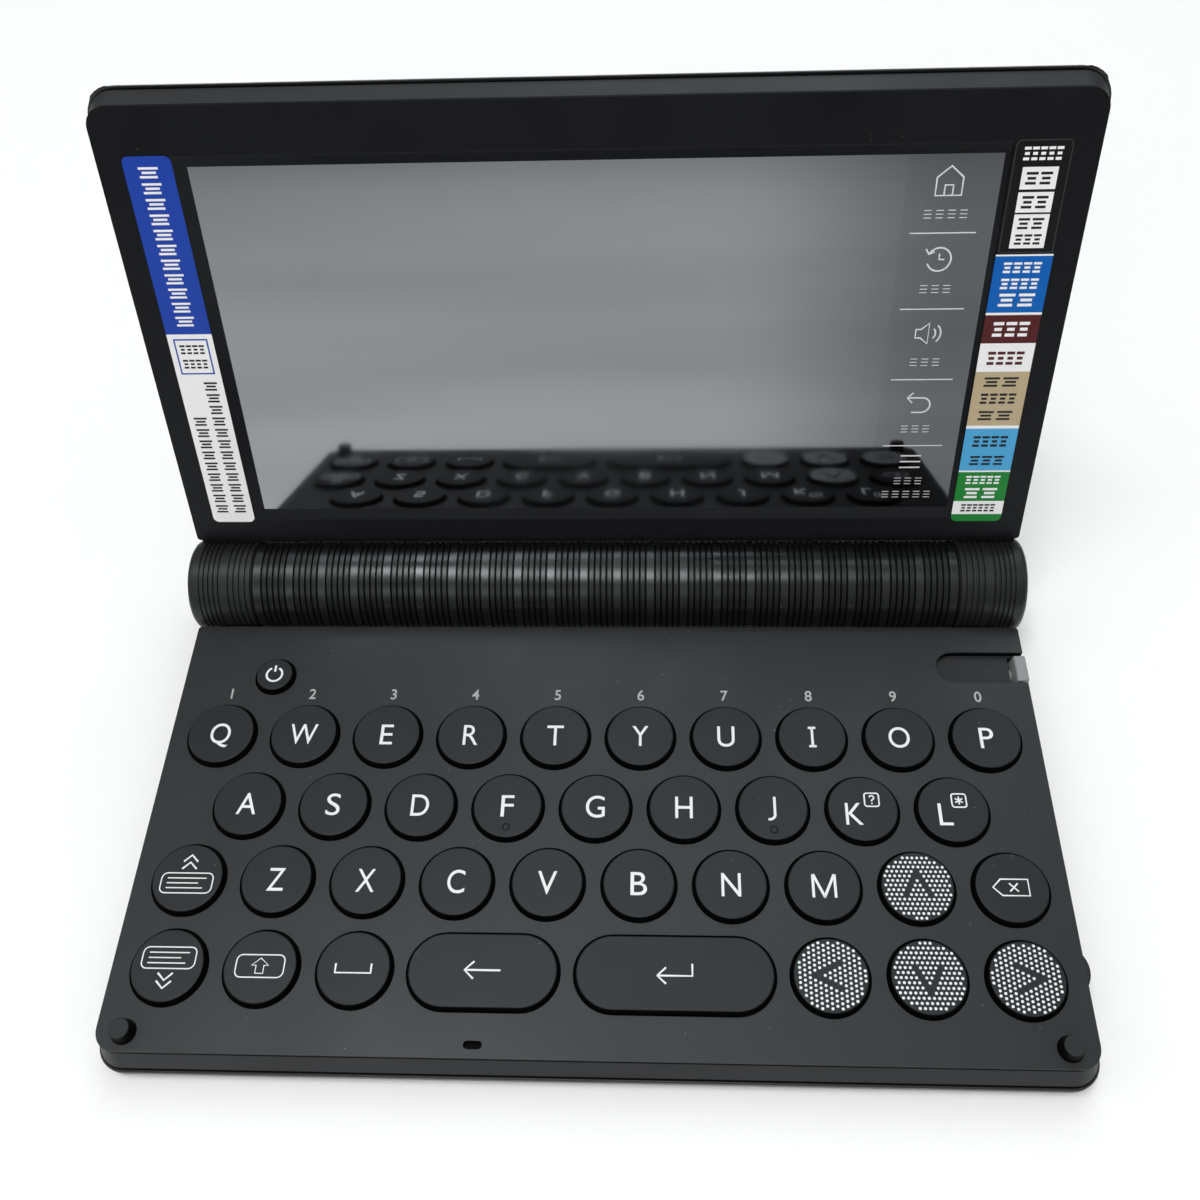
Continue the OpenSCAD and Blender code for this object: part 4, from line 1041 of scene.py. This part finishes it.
def make_shade_strip():
    """Dark strip at the lid's foot, a painted shade that closes the slit above the barrel."""
    wall_foot = shut_box("lid_side_frame")[1].y
    reach = -math.sqrt((BARREL_R + SHADE_STRIP_CLEAR) ** 2 - SHADE_STRIP_LOW ** 2)
    bm = block(-BARREL_MID, wall_foot - SHADE_STRIP_INSIDE, SHADE_STRIP_LOW, BARREL_MID, reach, SHADE_STRIP_LOW + SHADE_STRIP_T, 0.03 * MM)
    add_piece("lid_shade_strip", bm, "lid", [SHADOW_GAP], OPENED)


# Lid

SCREEN_HALF_W = 59.7 * MM
SCREEN_NEAR = 14.9 * MM
SCREEN_FAR = 73.6 * MM
SCREEN_SLOPE = 1.7 * MM
BEZEL_CORNER_R = 3.0 * MM
LIP_H = 0.62 * MM
LIP_T = 3.0 * MM


def make_bezel():
    low, high = shut_box("lid_bezel")
    bm = bmesh.new()
    outline = [(low.x, low.y, BEZEL_CORNER_R), (high.x, low.y, BEZEL_CORNER_R),
               (high.x, high.y, NEAR_R), (low.x, high.y, NEAR_R)]
    sheet(bm, outline)
    outer = bm.edges[:]
    window = sheet(bm, rectangle(-SCREEN_HALF_W - SCREEN_SLOPE, -SCREEN_FAR - SCREEN_SLOPE,
                                 SCREEN_HALF_W + SCREEN_SLOPE, -SCREEN_NEAR + SCREEN_SLOPE))
    bmesh.ops.delete(bm, geom=bm.faces[:], context="FACES_ONLY")
    inner = [edge for edge in bm.edges if edge not in set(outer)]
    bmesh.ops.triangle_fill(bm, use_beauty=True, use_dissolve=False, edges=bm.edges[:])
    thick = high.z - low.z
    made = bmesh.ops.extrude_edge_only(bm, edges=outer)["geom"]
    outer_top = [item for item in made if isinstance(item, bmesh.types.BMEdge)]
    bmesh.ops.translate(bm, verts=[v for v in made if isinstance(v, bmesh.types.BMVert)], vec=(0, 0, thick))
    made = bmesh.ops.extrude_edge_only(bm, edges=inner)["geom"]
    inner_top = [item for item in made if isinstance(item, bmesh.types.BMEdge)]
    slope_verts = [v for v in made if isinstance(v, bmesh.types.BMVert)]
    middle_y = -(SCREEN_FAR + SCREEN_NEAR) / 2
    half_h = (SCREEN_FAR - SCREEN_NEAR) / 2
    for vertex in slope_verts:
        vertex.co = (math.copysign(SCREEN_HALF_W, vertex.co.x),
                     middle_y + math.copysign(half_h, vertex.co.y - middle_y), thick)
    bmesh.ops.triangle_fill(bm, use_beauty=True, use_dissolve=False, edges=outer_top + inner_top)
    bmesh.ops.remove_doubles(bm, verts=bm.verts[:], dist=1e-7)
    bmesh.ops.recalc_face_normals(bm, faces=bm.faces[:])
    face = at_height(0)
    soften(bm, 0.25 * MM, lambda edge: face(edge) and max(abs(v.co.x) for v in edge.verts) > 62 * MM)
    soften(bm, 0.12 * MM, lambda edge: face(edge) and max(abs(v.co.x) for v in edge.verts) < 62 * MM,
           segments=2, angle=15)
    lip = block(-BARREL_MID, high.y - 0.05 * MM, 0.3 * MM, BARREL_MID, high.y + LIP_H, LIP_T, 0.1 * MM)
    add_piece("bezel_moulding", joined(bm, lip), "lid", [FINISHES["bezel"]],
              OPENED @ Matrix.Translation((0, 0, low.z)), ["lid_bezel"])


# Stylus

def make_stylus():
    low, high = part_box("stylus")
    middle_y = (low.y + high.y) / 2
    head_len, slope, tip_len, tip_r, shaft_r = 2.7 * MM, 0.7 * MM, 4 * MM, 0.5 * MM, 1.3 * MM
    shaft_z = PANEL_TOP - PANEL_T - 2.1 * MM
    head = block(high.x - head_len, low.y, low.z, high.x, high.y, high.z)
    for vertex in head.verts:
        if vertex.co.x < high.x - head_len / 2 and vertex.co.z > PANEL_TOP - PANEL_T:
            vertex.co.x += slope
    soften(head, 0.3 * MM)
    line = [(low.x, 0), (low.x, tip_r * 0.7), (low.x + tip_r * 0.3, tip_r), (low.x + tip_len, shaft_r),
            (high.x - head_len / 2, shaft_r), (high.x - head_len / 2, 0)]
    shaft = turned(line, steps=24)
    shaft.transform(Matrix.Translation((0, middle_y, shaft_z)))
    add_piece("stylus_moulding", joined(head, shaft), "stylus", [FINISHES["stylus_grey"]],
              replaced=["stylus"])


# Printed film beside the display

LABEL_R = 1.0
LEFT_LABEL = (-68.9, -61.5, 12.85, 75.5)
RIGHT_LABEL = (60.5, 69.0, 12.6, 75.9)
ROYAL, BLUE = (0.013, 0.055, 0.38), (0.001, 0.115, 0.46)
DARK_RED, TAN, SKY = (0.085, 0.012, 0.014), (0.50, 0.40, 0.25), (0.075, 0.38, 0.68)
GREEN, BLACK, PAPER = (0.008, 0.22, 0.03), (0.004, 0.004, 0.005), (0.90, 0.90, 0.90)
INK, RULE = (0.012, 0.012, 0.013), (0.045, 0.045, 0.047)
LEFT_BLOCKS = ((48.0, 75.5, ROYAL),)
RIGHT_BLOCKS = ((59.17, 75.84, BLACK), (50.1, 58.9, BLUE), (45.1, 49.7, DARK_RED), (30.85, 40.3, TAN),
                (22.5, 30.3, SKY), (16.6, 22.2, GREEN), (12.6, 14.0, GREEN))
WHITE_BOXES = ((68.69, 71.84), (65.37, 68.29), (60.09, 65.11))
PAPER_STEP = 0.01
FILMS = {}


def film(colour):
    """Printed glossy film of one colour."""
    if colour not in FILMS:
        FILMS[colour] = finish_material("Film %d" % len(FILMS), colour, 0.35, grain_depth=0.003, tone=0.04,
                                        specular=0.25)
    return FILMS[colour]


def film_patch(x0, y0, x1, y1, level, far_r=0.0, near_r=0.0):
    """Thin patch of film in millimetres, with its far and near corners rounded."""
    bm = bmesh.new()
    corners = [(x0, y0, far_r), (x1, y0, far_r), (x1, y1, near_r), (x0, y1, near_r)]
    sheet(bm, [(x * MM, y * MM, r * MM) for x, y, r in corners])
    pull(bm, bm.faces[:], -FILM_T - level * PAPER_STEP * MM)
    return bm


def make_label(name, area, paper_far, blocks, marks):
    """White film with rounded corners, its blocks of colour and the plain marks on them."""
    x0, x1, near, far = area
    face_z = shut_box("lid_bezel")[0].z
    layers = [(PAPER, film_patch(x0, -paper_far, x1, -near, 0, 0, LABEL_R))]
    for low, high, colour in blocks:
        far_r = LABEL_R if high > far - 0.2 else 0
        near_r = LABEL_R if low < near + 0.2 else 0
        layers.append((colour, film_patch(x0, -high, x1, -low, 1, far_r, near_r)))
    layers += marks
    materials = list(dict.fromkeys(colour for colour, _ in layers))
    for colour, patch in layers:
        for face in patch.faces:
            face.material_index = materials.index(colour)
    add_piece(name, joined(*[patch for _, patch in layers]), "lid",
              [film(colour) for colour in materials], OPENED @ Matrix.Translation((0, 0, face_z)))


CELL_FILL = 0.82
BAR_SHARES = ((0.0, 1.0), (0.14, 0.86), (0.0, 0.9))


def plain_cell(colour, x, v, wide, high, level=3):
    """Three short bars in a small square, which fill a place on a label."""
    marks = []
    for i, (left, right) in enumerate(BAR_SHARES):
        y = -(v + high / 2 - high * (i + 0.5) / 3)
        x0 = x - wide / 2
        marks.append((colour, film_patch(x0 + wide * left, y - high / 11, x0 + wide * right, y + high / 11, level)))
    return marks


def cell_row(colour, x0, x1, low, high, count, level=3):
    """Row of plain cells."""
    pitch = (x1 - x0) / count
    marks = []
    for i in range(count):
        marks += plain_cell(colour, x0 + (i + 0.5) * pitch, (low + high) / 2, pitch * CELL_FILL, high - low, level)
    return marks


def cell_column(colour, x0, x1, low, high, count, level=3):
    """Column of plain cells."""
    pitch = (high - low) / count
    marks = []
    for i in range(count):
        marks += plain_cell(colour, (x0 + x1) / 2, high - (i + 0.5) * pitch, x1 - x0, pitch * CELL_FILL, level)
    return marks


def left_marks():
    """Framed box and plain columns down the left label."""
    x0, x1 = LEFT_LABEL[:2]
    marks = cell_column(PAPER, x0 + 2.2, x1 - 2.2, 49.0, 74.3, 11)
    marks += [(ROYAL, film_patch(x0 + 0.9, -47.2, x1 - 0.9, -41.1, 2)),
              (PAPER, film_patch(x0 + 1.15, -46.95, x1 - 1.15, -41.35, 3))]
    marks += cell_row(INK, x0 + 1.6, x1 - 1.6, 44.5, 46.3, 4, 4)
    marks += cell_row(INK, x0 + 1.6, x1 - 1.6, 42.0, 43.8, 4, 4)
    marks += cell_column(INK, x0 + 1.0, x0 + 3.2, 14.5, 33.6, 9)
    marks += cell_column(INK, x1 - 3.2, x1 - 1.0, 14.5, 40.0, 12)
    return marks


def right_marks():
    """White boxes on the black block and plain rows on the others."""
    x0, x1 = RIGHT_LABEL[:2]
    marks = [(RULE, film_patch(x0 + 0.25, -75.6, x1 - 0.25, -59.4, 2, 0.8, 0.3)),
             (BLACK, film_patch(x0 + 0.37, -75.48, x1 - 0.37, -59.52, 3, 0.7, 0.2))]
    marks += cell_row(PAPER, x0 + 1.4, x1 - 1.4, 72.6, 74.8, 5, 4)
    for low, high in WHITE_BOXES:
        marks.append((PAPER, film_patch(x0 + 1.7, -high, x1 - 1.7, -low, 4)))
    for low, high, count in ((69.2, 71.3, 2), (65.8, 67.9, 2), (62.8, 64.7, 2), (60.5, 62.3, 3)):
        marks += cell_row(INK, x0 + 2.2, x1 - 2.2, low, high, count, 5)
    for low, high, count, colour in (
            (56.2, 58.1, 4, PAPER), (53.7, 55.6, 4, PAPER), (50.9, 53.3, 2, PAPER), (46.0, 48.8, 3, PAPER),
            (41.3, 43.9, 4, DARK_RED), (37.6, 39.5, 2, INK), (34.6, 36.7, 4, INK), (31.7, 33.6, 2, INK),
            (26.8, 29.1, 4, INK), (23.4, 25.4, 3, INK), (19.8, 21.6, 5, PAPER), (17.0, 19.3, 2, PAPER),
            (14.4, 16.1, 6, INK)):
        marks += cell_row(colour, x0 + 1.3, x1 - 1.3, low, high, count)
    return marks


# Signs printed on the glass

ICON_X = 52.4
ICON_PEN_W = 0.36


DASH_PITCH = 1.75
DASH_LEN = 1.1
STRIP_X = (46.2, SCREEN_HALF_W / MM)


def make_side_strip():
    """Slightly darker strip of the touch film behind the signs."""
    glass_z = shut_box("touch_glass")[0].z
    bm = bmesh.new()
    sheet(bm, rectangle(STRIP_X[0] * MM, -SCREEN_FAR, STRIP_X[1] * MM, -SCREEN_NEAR))
    pull(bm, bm.faces[:], -PRINT_T / 4)
    add_piece("glass_strip", bm, "lid", [SIDE_STRIP],
              OPENED @ Matrix.Translation((0, 0, glass_z)))


def make_icons():
    """Line drawings down the right side of the display: house, clock, loudspeaker, arrow and bars."""
    glass_z = shut_box("touch_glass")[0].z
    house = [(-1.9, -2.0), (-1.9, 0.6), (0, 2.2), (1.9, 0.6), (1.9, -2.0), (-1.9, -2.0)]
    door = [(-0.6, -2.0), (-0.6, -0.5), (0.6, -0.5), (0.6, -2.0)]
    clock = [arc(0, 0, 1.8, 150, -160, 16), [(0, 0.9), (0, 0), (0.8, 0)], [(-2.1, 1.6), (-1.6, 0.8), (-0.8, 1.2)]]
    speaker = [[(-2.0, -0.7), (-1.2, -0.7), (0, -1.7), (0, 1.7), (-1.2, 0.7), (-2.0, 0.7), (-2.0, -0.7)],
               arc(0, 0, 1.1, -45, 45, 6), arc(0, 0, 1.9, -45, 45, 8)]
    back = [[(-1.0, -1.6), (0.8, -1.6)] + arc(0.6, -0.3, 1.3, -80, 80, 8) + [(-1.9, 1.0)],
            [(-1.0, 1.9), (-1.9, 1.0), (-1.0, 0.1)]]
    bars = [[(-1.7, y), (1.7, y)] for y in (-1.1, 0, 1.1)]
    drawings = [(69.7, [house, door]), (58.2, clock), (46.4, speaker), (34.4, back), (23.7, bars)]
    marks = [shifted(ink_lines(lines, ICON_PEN_W), ICON_X, v) for v, lines in drawings]
    rules = [[(47.5, v), (57.3, v)] for v in (62.2, 50.4, 38.6, 26.7)]
    marks.append(ink_lines(rules, 0.26))
    dashes = []
    for v, count in ((65.0, 4), (53.6, 3), (41.6, 3), (29.8, 3), (20.0, 3), (17.4, 5)):
        start = ICON_X - count * DASH_PITCH / 2
        for i in range(count):
            left = start + (i + 0.2) * DASH_PITCH
            dashes += [[(left, v + rise), (left + DASH_LEN, v + rise)] for rise in (-0.55, 0.0, 0.55)]
    marks.append(ink_lines(dashes, 0.17))
    bm = joined(*marks)
    flip = Matrix.Translation((0, 0, glass_z)) @ Matrix.Scale(-1, 4, (0, 1, 0))
    bm.transform(flip)
    bmesh.ops.recalc_face_normals(bm, faces=bm.faces[:])
    add_piece("glass_signs", bm, "lid", [SIGN_PRINT], OPENED)


# Stage, light and camera

def make_floor():
    bm = bmesh.new()
    bmesh.ops.create_grid(bm, x_segments=1, y_segments=1, size=4.0)
    mesh = bpy.data.meshes.new("floor")
    bm.to_mesh(mesh)
    bm.free()
    mesh.materials.append(finish_material("Pale floor", (0.96, 0.96, 0.96), 0.8, tone=0.0, specular=0.1))
    floor = bpy.data.objects.new("floor", mesh)
    bpy.context.scene.collection.objects.link(floor)


def area_lamp(name, place, size, power, colour=(1, 1, 1), aim=(0, 0, 0.02), mirrored=True):
    """Rectangular lamp, wide and deep as given, that faces the keyboard or another point."""
    lamp = bpy.data.lights.new(name, "AREA")
    lamp.shape = "RECTANGLE"
    lamp.size, lamp.size_y = size
    lamp.energy = power
    lamp.color = colour
    holder = bpy.data.objects.new(name, lamp)
    holder.location = place
    holder.rotation_euler = (Vector(aim) - Vector(place)).to_track_quat("-Z", "Y").to_euler()
    holder.visible_glossy = mirrored
    bpy.context.scene.collection.objects.link(holder)


def make_light():
    world = bpy.data.worlds.new("Studio")
    bpy.context.scene.world = world
    world.use_nodes = True
    nodes, links = world.node_tree.nodes, world.node_tree.links
    place = nodes.new("ShaderNodeTexCoord")
    apart = nodes.new("ShaderNodeSeparateXYZ")
    links.new(place.outputs["Generated"], apart.inputs["Vector"])
    rise = nodes.new("ShaderNodeMapRange")
    rise.inputs["From Min"].default_value = 0.0
    rise.inputs["From Max"].default_value = 0.5
    rise.inputs["To Min"].default_value = 0.35
    rise.inputs["To Max"].default_value = 1.0
    links.new(apart.outputs["Z"], rise.inputs["Value"])
    links.new(rise.outputs["Result"], nodes["Background"].inputs["Color"])
    nodes["Background"].inputs["Strength"].default_value = 0.34
    area_lamp("softbox_rear", (0.11, 0.62, 0.85), (0.5, 0.6), 2.6, (0.9, 1.0, 0.985))
    area_lamp("softbox_above", (-0.12, -0.10, 1.0), (0.6, 0.18), 4.2)
    area_lamp("softbox_left", (-1.1, 0.0, 0.9), (0.7, 0.7), 1.4)
    area_lamp("softbox_right", (1.1, 0.0, 0.9), (0.7, 0.7), 1.0)
    area_lamp("softbox_front", (-0.35, -1.2, 0.95), (0.8, 0.5), 1.4)
    area_lamp("softbox_far", (0.0, -1.9, 1.5), (2.4, 1.6), 17.0, aim=(0.0, -1.9, 0.0),
              mirrored=False)


FOCAL_PX = 1174.263
CENTRE_PX = (601.928, 615.896)
FRAME_PX = 1200
SENSOR_MM = 36.0
CAMERA_TURN = Vector((2.55712, 0.0196, -0.06082))
CAMERA_SHIFT_MM = Vector((0.165, -5.0995, 213.469))


def make_camera():
    """Camera at the photograph's angle, given as the turn and shift from the panel's frame into its own."""
    turn = Matrix.Rotation(CAMERA_TURN.length, 3, CAMERA_TURN.normalized())
    back = turn.transposed()
    place = -(back @ CAMERA_SHIFT_MM) * MM + Vector((0, HINGE.y, PANEL_TOP))
    camera = bpy.data.cameras.new("Photo camera")
    camera.sensor_width = SENSOR_MM
    camera.lens = FOCAL_PX / FRAME_PX * SENSOR_MM
    camera.shift_x = (FRAME_PX / 2 - CENTRE_PX[0]) / FRAME_PX
    camera.shift_y = (CENTRE_PX[1] - FRAME_PX / 2) / FRAME_PX
    camera.clip_start = 0.01
    holder = bpy.data.objects.new("Photo camera", camera)
    holder.matrix_world = Matrix.Translation(place) @ (back @ Matrix.Diagonal((1, -1, -1))).to_4x4()
    bpy.context.scene.collection.objects.link(holder)
    bpy.context.scene.camera = holder


make_camera()
make_light()
make_floor()
refined("base_bottom_cover", "bottom_moulding", 0.1 * MM, FINISHES["shell"], COVER_TOP)
refined("base_side_frame", "side_moulding", 0.08 * MM, SIDE_FINISH, gap=BASE_GAP_SHADE)
refined("lid_back_cover", "lid_back_moulding", 0.1 * MM, FINISHES["shell"],
        shut_box("lid_back_cover")[1].z - BACK_LIP, place=OPENED)
refined("lid_side_frame", "lid_side_moulding", 0.08 * MM, SIDE_FINISH, gap=LID_GAP_SHADE, place=OPENED)
make_panel()
make_digits()
make_keys()
make_stops()
make_barrel()
make_door()
make_knuckles()
make_shade_strip()
make_bezel()
make_stylus()
make_label("label_left", LEFT_LABEL, LEFT_BLOCKS[0][0] + 0.1, LEFT_BLOCKS, left_marks())
make_label("label_right", RIGHT_LABEL, RIGHT_BLOCKS[0][0] + 0.1, RIGHT_BLOCKS, right_marks())
make_side_strip()
make_icons()

bpy.context.scene.view_settings.view_transform = "Standard"
